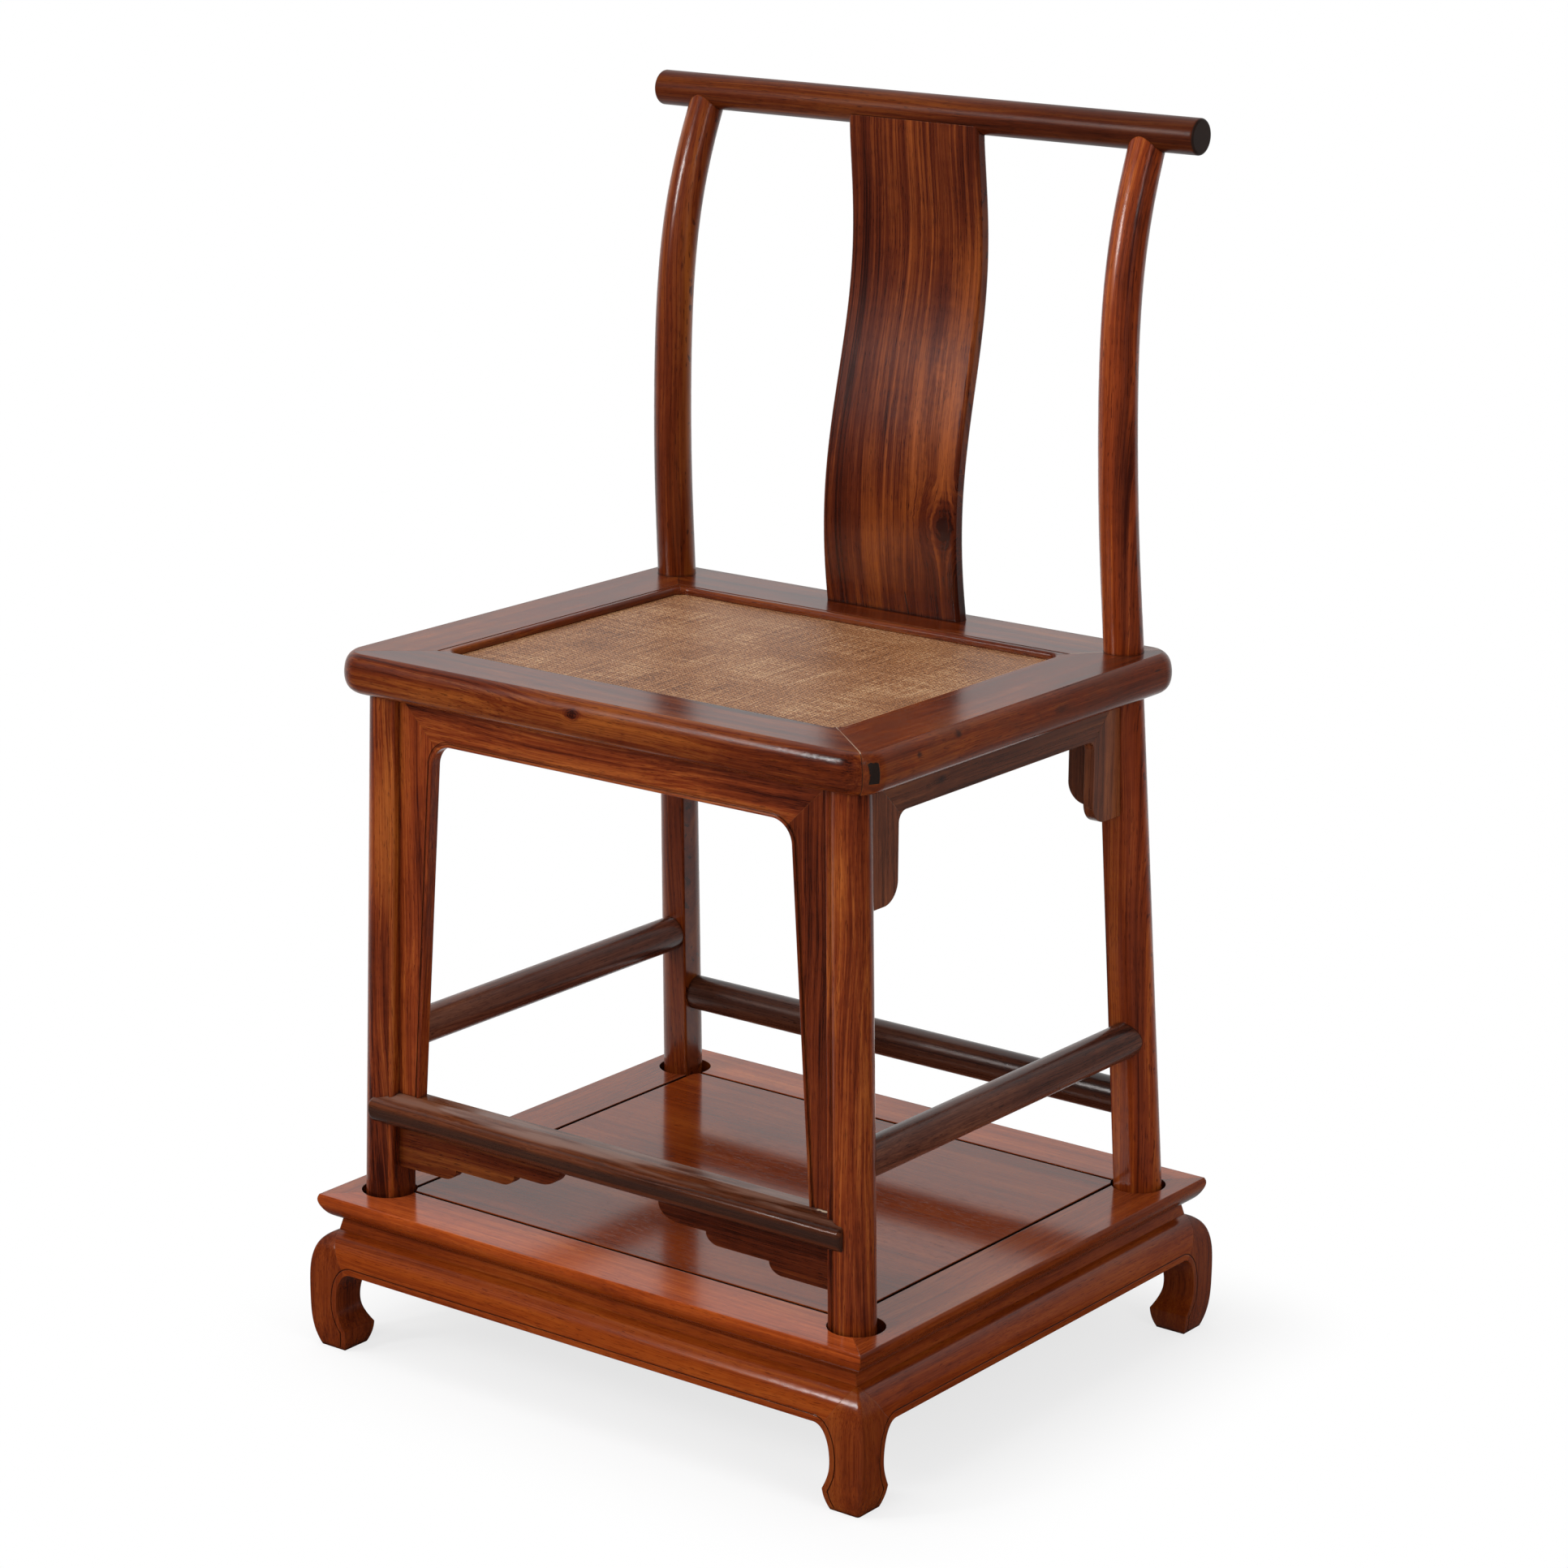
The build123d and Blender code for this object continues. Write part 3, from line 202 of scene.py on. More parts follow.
# ---------------------------------------------------------------- node trees
class Graph:
    """The node tree of a material or world, with one short call for each kind of node."""

    def __init__(self, owner):
        owner.use_nodes = True
        self.tree = owner.node_tree
        self.tree.nodes.clear()

    def node(self, kind, inputs=(), **settings):
        made = self.tree.nodes.new(kind)
        for key, value in settings.items():
            setattr(made, key, value)
        for key, value in dict(inputs).items():
            self.feed(made.inputs[key], value)
        return made

    def feed(self, socket, value):
        """Links an input to another node's output, or sets its value."""
        if isinstance(value, bpy.types.NodeSocket):
            self.tree.links.new(value, socket)
        elif socket.type == "RGBA" and len(value) == 3:
            socket.default_value = (*value, 1.0)
        else:
            socket.default_value = value

    def math(self, operation, a, b=0.0):
        return self.node("ShaderNodeMath", {0: a, 1: b}, operation=operation).outputs[0]

    def plus(self, a, b):
        return self.math("ADD", a, b)

    def minus(self, a, b):
        return self.math("SUBTRACT", a, b)

    def times(self, a, b):
        return self.math("MULTIPLY", a, b)

    def absolute(self, a):
        return self.math("ABSOLUTE", a)

    def larger(self, a, b):
        return self.math("MAXIMUM", a, b)

    def vector_math(self, operation, a, b=(0.0, 0.0, 0.0)):
        return self.node("ShaderNodeVectorMath", {0: a, 1: b}, operation=operation).outputs

    def length(self, x, y, z):
        return self.vector_math("LENGTH", self.join(x, y, z))["Value"]

    def dot(self, a, b):
        return self.vector_math("DOT_PRODUCT", a, b)["Value"]

    def place(self):
        """X, Y and Z of the point in the row frame, in metres."""
        return self.split(self.node("ShaderNodeTexCoord").outputs["Object"])

    def split(self, vector):
        return tuple(self.node("ShaderNodeSeparateXYZ", {0: vector}).outputs)

    def join(self, x, y, z):
        return self.node("ShaderNodeCombineXYZ", {0: x, 1: y, 2: z}).outputs[0]

    def noise(self, vector, detail=2.0, roughness=0.5):
        inputs = {"Vector": vector, "Scale": 1.0, "Detail": detail, "Roughness": roughness}
        return self.node("ShaderNodeTexNoise", inputs).outputs["Fac"]

    def swing(self, noise, reach):
        """A noise as an offset about zero."""
        return self.times(self.minus(noise, 0.5), reach)

    def between(self, value, low, high, start=0.0, end=1.0):
        """Smooth step from start to end as the value goes from low to high."""
        inputs = {"Value": value, "From Min": low, "From Max": high, "To Min": start, "To Max": end}
        return self.node("ShaderNodeMapRange", inputs, interpolation_type="SMOOTHSTEP").outputs[0]

    def fade(self, value, near, far, strength=1.0):
        """Smooth fall from the strength to nothing as the value goes from near to far."""
        return self.between(value, near, far, strength, 0.0)

    def mix(self, share, a, b, blend="MIX"):
        made = self.node("ShaderNodeMix", {"Factor": share}, data_type="RGBA", blend_type=blend)
        self.feed(made.inputs[6], a)
        self.feed(made.inputs[7], b)
        return made.outputs[2]

    def tint(self, share, colour, factors):
        return self.mix(share, colour, factors, "MULTIPLY")

    def ramp(self, share, places, colours):
        made = self.node("ShaderNodeValToRGB", {0: share})
        elements = made.color_ramp.elements
        while len(elements) < len(places):
            elements.new(0.5)
        for element, place, colour in zip(elements, places, colours):
            element.position = place
            element.color = (*colour, 1.0)
        return made.outputs["Color"]

    def glow(self, kind, strength):
        """White emission or background."""
        return self.node(kind, {"Color": WHITE, "Strength": strength}).outputs[0]

    def blend(self, share, a, b):
        """Mixes two shaders."""
        return self.node("ShaderNodeMixShader", {0: share, 1: a, 2: b}).outputs[0]

    def polish(self, inputs):
        return self.node("ShaderNodeBsdfPrincipled", inputs).outputs[0]

    def surface(self, shader):
        """Gives a material its shader."""
        self.node("ShaderNodeOutputMaterial", {"Surface": shader})


def stretched(g, place, axis, across, along, shift=0.0):
    """Texture place with grain along one axis: cells per metre across it and along it."""
    scaled = []
    for index, part in enumerate(place):
        part = g.times(part, along if index == axis else across)
        scaled.append(g.plus(part, shift) if index == axis else part)
    return g.join(*scaled)


def wander(g, place, cells, reach, detail=2.0):
    """An uneven offset, for the outline of a mark."""
    return g.swing(g.noise(stretched(g, place, ALONG_X, cells, cells), detail), reach)


def reached(g, place, centre, reach, uneven):
    """Distance from the centre, as a share of the reach along each axis, with an uneven edge."""
    parts = [g.times(g.minus(part, middle), 1.0 / far) for part, middle, far in zip(place, centre, reach)]
    return g.plus(g.length(*parts), wander(g, place, MARK_CELLS, uneven))


def marked(g, place, colour, marks, dark):
    """The colour with dark marks on it."""
    for centre, reach, strength in marks:
        away = reached(g, place, centre, reach, MARK_UNEVEN)
        colour = g.mix(g.fade(away, *MARK_SPAN, strength), colour, dark)
    return colour


def add_object(name, data):
    """A new object in the scene."""
    made = bpy.data.objects.new(name, data)
    bpy.context.scene.collection.objects.link(made)
    return made


# ---------------------------------------------------------------- wood
def streaked(g, place, grain, bent, shift):
    """The place that streaks are drawn from: they wander sideways and follow the piece's bend."""
    sway = g.noise(stretched(g, place, grain, *SWAY_CELLS, shift))
    parts = []
    for axis, part in enumerate(place):
        if axis != grain:
            part = g.plus(part, g.swing(sway, SWAY_REACH))
        parts.append(g.times(part, BENT_SHARE) if axis == bent else part)
    return parts


def pinched(g, streak_place, place, centre, from_knot, still):
    """Draws streaks together around a knot, except along the axes that stay still."""
    pinch = g.fade(from_knot, *KNOT_PINCH)
    parts = list(streak_place)
    for axis, part in enumerate(place):
        if axis not in still:
            parts[axis] = g.minus(parts[axis], g.times(g.minus(part, centre[axis]), pinch))
    return parts


def figure_depth(g, name, place, layers, streaks):
    """How light the figure is, from its layers and from the places that are lighter or darker."""
    depth = TONE_STOPS[1]
    for layer, (cells, detail, weight) in LAYERS.items():
        if layer in STREAK_LAYERS:
            weight *= streaks
        depth = g.plus(g.swing(layers[layer], weight), depth)
    for centre, reach, lift in FIGURE.get(name, ()):
        away = reached(g, place, centre, reach, FIGURE_UNEVEN)
        depth = g.plus(depth, g.fade(away, *FIGURE_SPAN, lift))
    return depth


def knot_depth(g, depth, from_knot):
    """Adds the rings and the dark core of a knot."""
    rings = g.math("SINE", g.times(from_knot, KNOT_RING_RATE))
    depth = g.plus(depth, g.times(rings, g.fade(from_knot, *KNOT_RINGS)))
    return g.minus(depth, g.fade(from_knot, *KNOT_CORE))


def wear_and_painted_light(g, colour, light, rounded):
    """Worn and lighter with a painted highlight along the arrises, and dark with dirt and painted shade in
    the inner corners.
    """
    flat = g.node("ShaderNodeNewGeometry").outputs["Normal"]
    # Lighter along the arrises: wear with a painted highlight.
    colour = g.mix(g.between(g.dot(rounded, flat), *EDGE_TURN, 0.0, EDGE_WEAR_AND_HIGHLIGHT), colour, light)
    # Dirt with painted shade: darker where little open air is around, from the ambient occlusion.
    open_air = g.node("ShaderNodeAmbientOcclusion", {"Distance": CORNER_REACH}, samples=4).outputs["AO"]
    return g.mix(g.fade(open_air, *CORNER_SPAN, CORNER_SHARE), colour, CORNER_DIRT_AND_SHADE)


def wood(name, tones, grain, shift=0.0, shade=1.0, streaks=1.0, rough=0.22, specular=0.5,
         bent=None, paint=None):
    """Polished hardwood with its grain along one axis.

    shift moves the figure along the grain, and shade is a factor on the tones. bent is the axis
    along which the piece curves. paint(graph, place, colour) adds local marks.
    """
    material = bpy.data.materials.new(name)
    g = Graph(material)
    place = g.place()
    dark, light = tones[0], tones[-1]
    streak_place = streaked(g, place, grain, bent, shift)
    if name in KNOTS:
        centre, reach = KNOTS[name]
        from_knot = reached(g, place, centre, reach, FIGURE_UNEVEN)
        streak_place = pinched(g, streak_place, place, centre, from_knot, (grain, bent))
    layers = {}
    for layer, (cells, detail, weight) in LAYERS.items():
        where = place if layer in STILL_LAYERS else streak_place
        layers[layer] = g.noise(stretched(g, where, grain, *cells, shift), detail, LAYER_ROUGHNESS)
    depth = figure_depth(g, name, place, layers, streaks)
    if name in KNOTS:
        depth = knot_depth(g, depth, from_knot)
    colour = g.ramp(depth, TONE_STOPS, tones)
    pore = g.noise(stretched(g, streak_place, grain, *PORE_CELLS, shift + PORE_SHIFT), detail=1.5)
    pores = g.between(pore, *PORE_SPAN)
    colour = g.mix(g.times(pores, PORE_DARKNESS), colour, dark)
    colour = g.tint(1.0, colour, (shade, shade, shade))
    if paint:
        colour = paint(g, place, colour)
    rounded = g.node("ShaderNodeBevel", {"Radius": EDGE_RADIUS}, samples=4).outputs[0]
    bump = g.node("ShaderNodeBump", {
        "Strength": BUMP_STRENGTH,
        "Distance": PORE_DEPTH,
        "Height": g.minus(g.times(layers["fine"], FINE_RELIEF), pores),
        "Normal": rounded,
    })
    g.surface(g.polish({
        "Base Color": wear_and_painted_light(g, colour, light, rounded),
        "Roughness": g.plus(g.swing(layers["line"], GLOSS_SPREAD), rough),
        "IOR": 1.5,
        "Specular IOR Level": specular,
        "Normal": bump.outputs[0],
    }))
    return material


# ---------------------------------------------------------------- local marks
CRACK_TOP = (0.0164, 0.6645)            # X and Z
CRACK_FOOT = (0.0196, 0.6385)
CRACK_SPAN = (0.00035, 0.000875)        # from its middle, where it is full and gone
CRACK_TAPER = 0.004


def paint_splat(g, place, colour):
    """A crack that runs up from the splat's foot."""
    x, y, z = place
    (x_top, z_top), (x_foot, z_foot) = CRACK_TOP, CRACK_FOOT
    lean = (x_foot - x_top) / (z_foot - z_top)
    away = g.absolute(g.minus(x, g.plus(g.times(g.minus(z, z_top), lean), x_top)))
    crack = g.times(g.fade(away, *CRACK_SPAN), g.between(z, z_top, z_top - CRACK_TAPER))
    return g.mix(crack, colour, END_GRAIN)


SEAT_BULGE = 0.009                      # seat rails' moulding beyond their top arris
MITRE_SPAN = (0.00015, 0.00050)         # from its middle, where the hairline is full and gone
MITRE_STRENGTH = 0.85
MITRE_TOP = (0.0012, 0.0004)            # below the rails' top, where the hairline turns pale
MITRE_MIDDLE = (-0.01, 0.01)            # X at which left turns into right


def seat_corner(end):
    """Outer and inner corner of the seat frame on plan, at the right: end is "front" or "rear"."""
    rail_low, rail_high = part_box("seat_rail_" + end)
    hole_low, hole_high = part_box("seat_mat")
    x_out, x_in = rail_high.x - SEAT_BULGE, hole_high.x
    if end == "front":
        return (x_out, rail_low.y + SEAT_BULGE), (x_in, hole_low.y)
    return (x_out, rail_high.y - SEAT_BULGE), (x_in, hole_high.y)


def seat_mitres(g, place, colour, end):
    """Hairlines along the mitres of a front or rear seat rail: pale on top at the right, dark elsewhere."""
    x, y, z = place
    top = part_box("seat_rail_front")[1].z
    (x_out, y_out), (x_in, y_in) = seat_corner(end)
    length = math.hypot(x_out - x_in, y_out - y_in)
    x_share, y_share = (y_in - y_out) / length, (x_out - x_in) / length
    away = g.plus(g.times(g.minus(g.absolute(x), x_out), x_share), g.times(g.minus(y, y_out), y_share))
    hair = g.fade(g.absolute(away), *MITRE_SPAN, MITRE_STRENGTH)
    on_top = g.between(z, *(top - below for below in MITRE_TOP))
    pale = g.times(on_top, g.between(x, *MITRE_MIDDLE))
    return g.mix(hair, colour, g.mix(pale, END_GRAIN, FILLER))


TENON_REACH = 0.009                     # in from the frame's outer corner
TENON_SET_BACK = 0.0030                 # behind its front corner
TENON_BELOW = 0.0068                    # below its top
TENON_BLUR = 0.001
TENON_CELLS = 240.0                     # per metre, of its uneven outline
TENON_WANDER = 0.0060


def paint_front_rail(g, place, colour):
    """Near-black end grain on the through tenons, with a worn outline."""
    colour = seat_mitres(g, place, colour, "front")
    x_out, y_out = seat_corner("front")[0]
    x_edge, y_edge = x_out - TENON_REACH, y_out + TENON_SET_BACK
    z_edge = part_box("seat_rail_front")[1].z - TENON_BELOW
    uneven = wander(g, place, TENON_CELLS, TENON_WANDER, detail=3.0)
    x, y, z = place
    tenon = g.between(g.absolute(x), x_edge, x_edge + TENON_BLUR)
    tenon = g.times(tenon, g.between(g.plus(y, uneven), y_edge, y_edge + TENON_BLUR))
    tenon = g.times(tenon, g.between(g.plus(z, uneven), z_edge, z_edge - TENON_BLUR))
    return g.mix(tenon, colour, END_GRAIN)


def paint_rear_rail(g, place, colour):
    return seat_mitres(g, place, colour, "rear")


MOTTLE_CELLS = (45.0, 22.0)
MOTTLE_SPAN = (0.35, 0.70)
MOTTLE_SHARES = (0.15, 0.6)


def paint_side_rail(g, place, colour):
    """Browner and greyer than the front, with dark marks on its outer face."""
    mottle = g.noise(stretched(g, place, ALONG_Y, *MOTTLE_CELLS), detail=4.0, roughness=0.65)
    colour = g.mix(g.between(mottle, *MOTTLE_SPAN, *MOTTLE_SHARES), colour, RAIL_BROWN)
    return marked(g, place, colour, RAIL_MARKS, RAIL_MARK)


def paint_side_apron(g, place, colour):
    return marked(g, place, colour, APRON_MARKS, APRON_MARK)


CREST_SPAN = (0.02, 0.20)               # X at which the crest begins to darken and is darkest
CREST_DARKENING = 0.40
CREST_END = (0.0016, 0.0008)            # in from its ends, where end grain begins and is full
CREST_END_SHARE = 0.92


def paint_crest(g, place, colour):
    """Darker towards its right, with nearly black end grain."""
    x, y, z = place
    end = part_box("crest_rail")[1].x
    colour = g.mix(g.between(x, *CREST_SPAN, 0.0, CREST_DARKENING), colour, CREST_DARK)
    end_grain = g.between(g.absolute(x), *(end - inward for inward in CREST_END), 0.0, CREST_END_SHARE)
    return g.mix(end_grain, colour, END_GRAIN)


WEAR_BELOW = (0.0060, 0.0025)           # below the footrest's top, where wear begins and is full
WEAR_CELLS = (90.0, 8.0)
WEAR_SPAN = (0.40, 0.62)
WEAR_SHARE = 0.75
RIM_BELOW = (0.0085, 0.0140)            # below its top, where the dark rim begins and is full
RIM_SHARE = 0.85
FILLER_BELOW = (0.012, 0.008)           # below its top, where the filler begins and is full
FILLER_IN = (0.0230, 0.0210)            # in from the spandrel's right edge, likewise
FILLER_SPAN = (0.0008, 0.0016)          # from the spandrel's face, where it is full and gone
FILLER_CELLS = 300.0                    # per metre, of its uneven outline
FILLER_WANDER = 0.0050


def paint_footrest(g, place, colour):
    """Worn pale on top and nearly black along its rim, with filler below the right front spandrel."""
    x, y, z = place
    spandrel_low, spandrel_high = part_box("front_spandrel_right")
    below = g.minus(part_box("footrest")[1].z, z)
    wear = g.noise(stretched(g, place, ALONG_X, *WEAR_CELLS), detail=3.0, roughness=0.6)
    worn = g.times(g.between(below, *WEAR_BELOW), g.between(wear, *WEAR_SPAN))
    colour = g.mix(g.times(worn, WEAR_SHARE), colour, FOOTREST_WORN)
    colour = g.mix(g.between(below, *RIM_BELOW, 0.0, RIM_SHARE), colour, FOOTREST_RIM)
    from_front = g.plus(g.minus(y, spandrel_low.y), wander(g, place, FILLER_CELLS, FILLER_WANDER))
    filler = g.fade(g.absolute(from_front), *FILLER_SPAN)
    filler = g.times(filler, g.between(x, *(spandrel_high.x - inward for inward in FILLER_IN)))
    return g.mix(g.times(filler, g.between(below, *FILLER_BELOW)), colour, FILLER)


# Below the top of the stand's frame or panel, where each begins and is full.
GAP_BELOW = (0.0006, 0.0012)
TOP_BELOW = (0.0006, 0.0001)
EDGE_BELOW = (0.0040, 0.0200)
# Out from the frame's inner edge, likewise.
GAP_BESIDE = (0.0006, 0.0002)


def paint_panel(g, place, colour):
    """Painted shade down its edge, inside the gap around it."""
    below = g.minus(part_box("stand_panel")[1].z, place[2])
    # Painted shade down the panel's edge, in the gap.
    return g.mix(g.between(below, *GAP_BELOW), colour, GAP_SHADE)


def paint_frame(g, place, colour):
    """Painted light on top and painted shade on its moulded edge, and painted shade inside the gap around the
    panel.
    """
    x, y, z = place
    below = g.minus(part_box("stand_frame_front")[1].z, z)
    # Painted light: the frame's top lighter, as where light from above falls.
    colour = g.tint(g.between(below, *TOP_BELOW), colour, FRAME_TOP_PAINTED_LIGHT)
    beside_x = g.minus(g.absolute(x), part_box("stand_frame_right")[0].x)
    beside_y = g.minus(g.absolute(y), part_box("stand_frame_rear")[0].y)
    inner = g.times(g.between(beside_x, *GAP_BESIDE), g.between(beside_y, *GAP_BESIDE))
    # Painted shade on the frame's inner faces, in the gap around the panel.
    colour = g.mix(g.times(inner, g.between(below, *GAP_BELOW)), colour, GAP_SHADE)
    # Painted shade: the moulded edge darker, as it faces away from the light above.
    return g.tint(g.between(below, *EDGE_BELOW), colour, FRAME_EDGE_PAINTED_SHADE)


# ---------------------------------------------------------------- woven mat
MAT_PITCH = 0.0031                      # strand to strand
MAT_STEPS = 3                           # mesh steps for each strand
MAT_HOLLOW = 0.5                        # depth of the weave, as a share of the mat's thickness
STRAND_RISE = 0.4                       # share of a strand's height that rises and falls along it
MAT_STOPS = (0.50, 0.68, 0.90)
MAT_TONES = ((0.115, 0.040, 0.014), (0.375, 0.158, 0.060), (0.78, 0.49, 0.26))
# painted shade in the holes and gaps between strands
MAT_HOLE_SHADE = (0.030, 0.011, 0.006)
MAT_ROUGHNESS = 0.42
PATCH_CELLS = 9.0                       # per metre, of broad lighter and darker patches: tone that differs, and painted sheen
SPECK_CELLS = 330.0
STRAND_CELLS = 0.03                     # along a strand, for each strand that it crosses
WARP_SEED, WEFT_SEED = 1.0, 7.0
PATCH_WEIGHT = 0.40
STRAND_WEIGHT = 0.28
SPECK_WEIGHT = 0.40
# Distances from a gap's middle, in strands, where each is full and gone, and its strength.
HOLE_FADE = (0.17, 0.38, 0.97)
SEAM_FADE = (0.02, 0.18, 0.60)
GAP_WANDER = 0.25


def mat_material(low):
    """Woven cane: strands of different tone, with painted shade in the gaps between them and in the holes
    where gaps cross.
    """
    material = bpy.data.materials.new("woven_cane")
    g = Graph(material)
    x, y, z = g.place()
    u = g.plus(g.times(g.minus(x, low.x), 1.0 / MAT_PITCH), 0.5)
    v = g.plus(g.times(g.minus(y, low.y), 1.0 / MAT_PITCH), 0.5)
    patch_place = g.join(g.times(x, PATCH_CELLS), g.times(y, PATCH_CELLS), 0.0)
    speck_place = g.join(g.times(x, SPECK_CELLS), g.times(y, SPECK_CELLS), 0.0)
    patch = g.noise(patch_place, detail=4.0, roughness=0.65)
    warp = g.noise(g.join(g.math("ROUND", u), g.times(v, STRAND_CELLS), WARP_SEED), detail=1.0)
    weft = g.noise(g.join(g.times(u, STRAND_CELLS), g.math("ROUND", v), WEFT_SEED), detail=1.0)
    speck = g.noise(speck_place, detail=2.0, roughness=0.7)
    # Broad patches: tone that differs, with a painted sheen in the lighter ones.
    share = g.times(patch, PATCH_WEIGHT)
    for part, weight in ((warp, STRAND_WEIGHT), (weft, STRAND_WEIGHT), (speck, SPECK_WEIGHT)):
        share = g.plus(share, g.times(part, weight))
    colour = g.ramp(share, MAT_STOPS, MAT_TONES)
    from_u = g.absolute(g.minus(g.math("FRACT", u), 0.5))
    from_v = g.absolute(g.minus(g.math("FRACT", v), 0.5))
    uneven = g.swing(speck, GAP_WANDER)
    hole = g.fade(g.plus(g.larger(from_u, from_v), uneven), *HOLE_FADE)
    seam = g.fade(g.plus(g.math("MINIMUM", from_u, from_v), uneven), *SEAM_FADE)
    # Painted shade in the gaps and holes, where the sheet has no openings.
    colour = g.mix(g.larger(hole, seam), colour, MAT_HOLE_SHADE)
    g.surface(g.polish({"Base Color": colour, "Roughness": MAT_ROUGHNESS}))
    return material


def strand_height(across, along, over):
    """Height of one strand's top, from the distance to the strand's middle and the place along it."""
    round_top = math.sqrt(max(0.0, 1.0 - (2.0 * across) ** 2))
    raised = 0.5 + 0.5 * over * math.cos(math.pi * along)
    return round_top * (1.0 - STRAND_RISE + STRAND_RISE * raised)


def weave_height(u, v):
    """Height of the plain weave, 0 in a hole and 1 on top of a strand, at a place counted in strands."""
    column, row = round(u), round(v)
    warp = strand_height(u - column, v, 1 if column % 2 else -1)
    weft = strand_height(v - row, u, -1 if row % 2 else 1)
    return max(warp, weft)


def weave_mat():
    """Strands that pass over and under each other, as one sheet inside the seat's opening."""
    low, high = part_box("seat_mat")
    width, depth, thick = high.x - low.x, high.y - low.y, high.z - low.z
    columns = round(width / MAT_PITCH * MAT_STEPS)
    rows = round(depth / MAT_PITCH * MAT_STEPS)
    vertices = []
    for row in range(rows + 1):
        for column in range(columns + 1):
            x = low.x + width * column / columns
            y = low.y + depth * row / rows
            raised = weave_height((x - low.x) / MAT_PITCH + 0.5, (y - low.y) / MAT_PITCH + 0.5)
            vertices.append((x, y, high.z - thick * MAT_HOLLOW * (1.0 - raised)))
    wide = columns + 1
    faces = []
    for row in range(rows):
        for column in range(columns):
            first = row * wide + column
            faces.append((first, first + 1, first + wide + 1, first + wide))
    mesh = bpy.data.meshes.new("woven_mat")
    mesh.from_pydata(vertices, [], faces)
    mesh.materials.append(mat_material(low))
    piece = add_object("woven_mat", mesh)
    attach(piece, "chair")
    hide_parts("seat_mat")


# ---------------------------------------------------------------- stage
def aimed(place, aim):
    """Matrix of something at a place that looks at the aim point."""
    way = Vector(aim) - Vector(place)
    return Matrix.Translation(place) @ way.to_track_quat("-Z", "Y").to_matrix().to_4x4()


def make_camera():
    azimuth, elevation = math.radians(CAMERA_AZIMUTH), math.radians(CAMERA_ELEVATION)
    back = Vector((
        math.sin(azimuth) * math.cos(elevation),
        -math.cos(azimuth) * math.cos(elevation),
        math.sin(elevation),
    ))
    right = Vector((math.cos(azimuth), math.sin(azimuth), 0.0))
    up = back.cross(right)
    turn = math.radians(CAMERA_ROLL)
    image_right = right * math.cos(turn) + up * math.sin(turn)
    image_up = up * math.cos(turn) - right * math.sin(turn)
    basis = Matrix((image_right, image_up, back)).transposed().to_4x4()
    data = bpy.data.cameras.new("camera")
    data.sensor_width = SENSOR_WIDTH
    data.lens = CAMERA_LENS
    data.clip_start, data.clip_end = CAMERA_CLIP
    camera = add_object("camera", data)
    camera.matrix_world = Matrix.Translation(Vector(CAMERA_AIM) + back * CAMERA_DISTANCE) @ basis
    bpy.context.scene.camera = camera


def backdrop_shine(g, x, y):
    """Brightness that reflections show in the direction of a point or way on plan."""
    way = g.vector_math("NORMALIZE", g.join(x, y, 0.0))["Vector"]
    facing = g.dot(way, (*BACKDROP_WAY, 0.0))
    return g.between(facing, *BACKDROP_SPAN, *BACKDROP_SHINE)


def by_ray(g, light, reflection, view):
    """One shader that lights the object, one that its reflections show and one that the camera sees."""
    rays = g.node("ShaderNodeLightPath").outputs
    unseen = g.blend(rays["Is Glossy Ray"], light, reflection)
    return g.blend(g.larger(rays["Is Camera Ray"], rays["Is Transmission Ray"]), unseen, view)


def floor_material():
    """A lit floor with soft shadows around the stand, and plain white farther out."""
    material = bpy.data.materials.new("floor")
    g = Graph(material)
    x, y, z = g.place()
    half_x, half_y = cad_box[1][0], cad_box[1][1]
    past_x = g.larger(g.minus(g.absolute(x), half_x), 0.0)
    past_y = g.larger(g.minus(g.absolute(y), half_y), 0.0)
    lit = g.node("ShaderNodeBsdfDiffuse", {"Color": FLOOR_COLOUR}).outputs[0]
    cover = g.between(g.length(past_x, past_y, 0.0), *FLOOR_FADE, 1.0 - FLOOR_SHADOW, 1.0)
    seen = g.blend(cover, lit, g.glow("ShaderNodeEmission", 1.0))
    shine = g.glow("ShaderNodeEmission", backdrop_shine(g, x, y))
    g.surface(by_ray(g, lit, shine, seen))
    return material


def make_floor():
    mesh = bpy.data.meshes.new("floor")
    form = bmesh.new()
    bmesh.ops.create_circle(form, cap_ends=True, segments=FLOOR_SIDES, radius=FLOOR_RADIUS)
    form.to_mesh(mesh)
    form.free()
    mesh.materials.append(floor_material())
    add_object("floor", mesh)


def make_world():
    world = bpy.data.worlds.new("world")
    bpy.context.scene.world = world
    g = Graph(world)
    x, y, z = g.split(g.node("ShaderNodeTexCoord").outputs["Generated"])
    dim = g.glow("ShaderNodeBackground", WORLD_LIGHT)
    shine = g.glow("ShaderNodeBackground", backdrop_shine(g, x, y))
    white = g.glow("ShaderNodeBackground", 1.0)
    g.node("ShaderNodeOutputWorld", {"Surface": by_ray(g, dim, shine, white)})


def make_lamps():
    for name, (place, aim, (width, height), watts, shiny) in LAMPS.items():
        data = bpy.data.lights.new(name, "AREA")
        data.shape = "RECTANGLE"
        data.size, data.size_y = width, height
        data.energy = watts
        lamp = add_object(name, data)
        lamp.matrix_world = aimed(place, aim)
        lamp.visible_glossy = shiny


# ---------------------------------------------------------------- pieces
def give(node, material):
    """Puts one material on a CAD node."""
    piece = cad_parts[node]
    if not piece.material_slots:
        piece.data.materials.append(material)
    for slot in piece.material_slots:
        slot.link = "OBJECT"
        slot.material = material


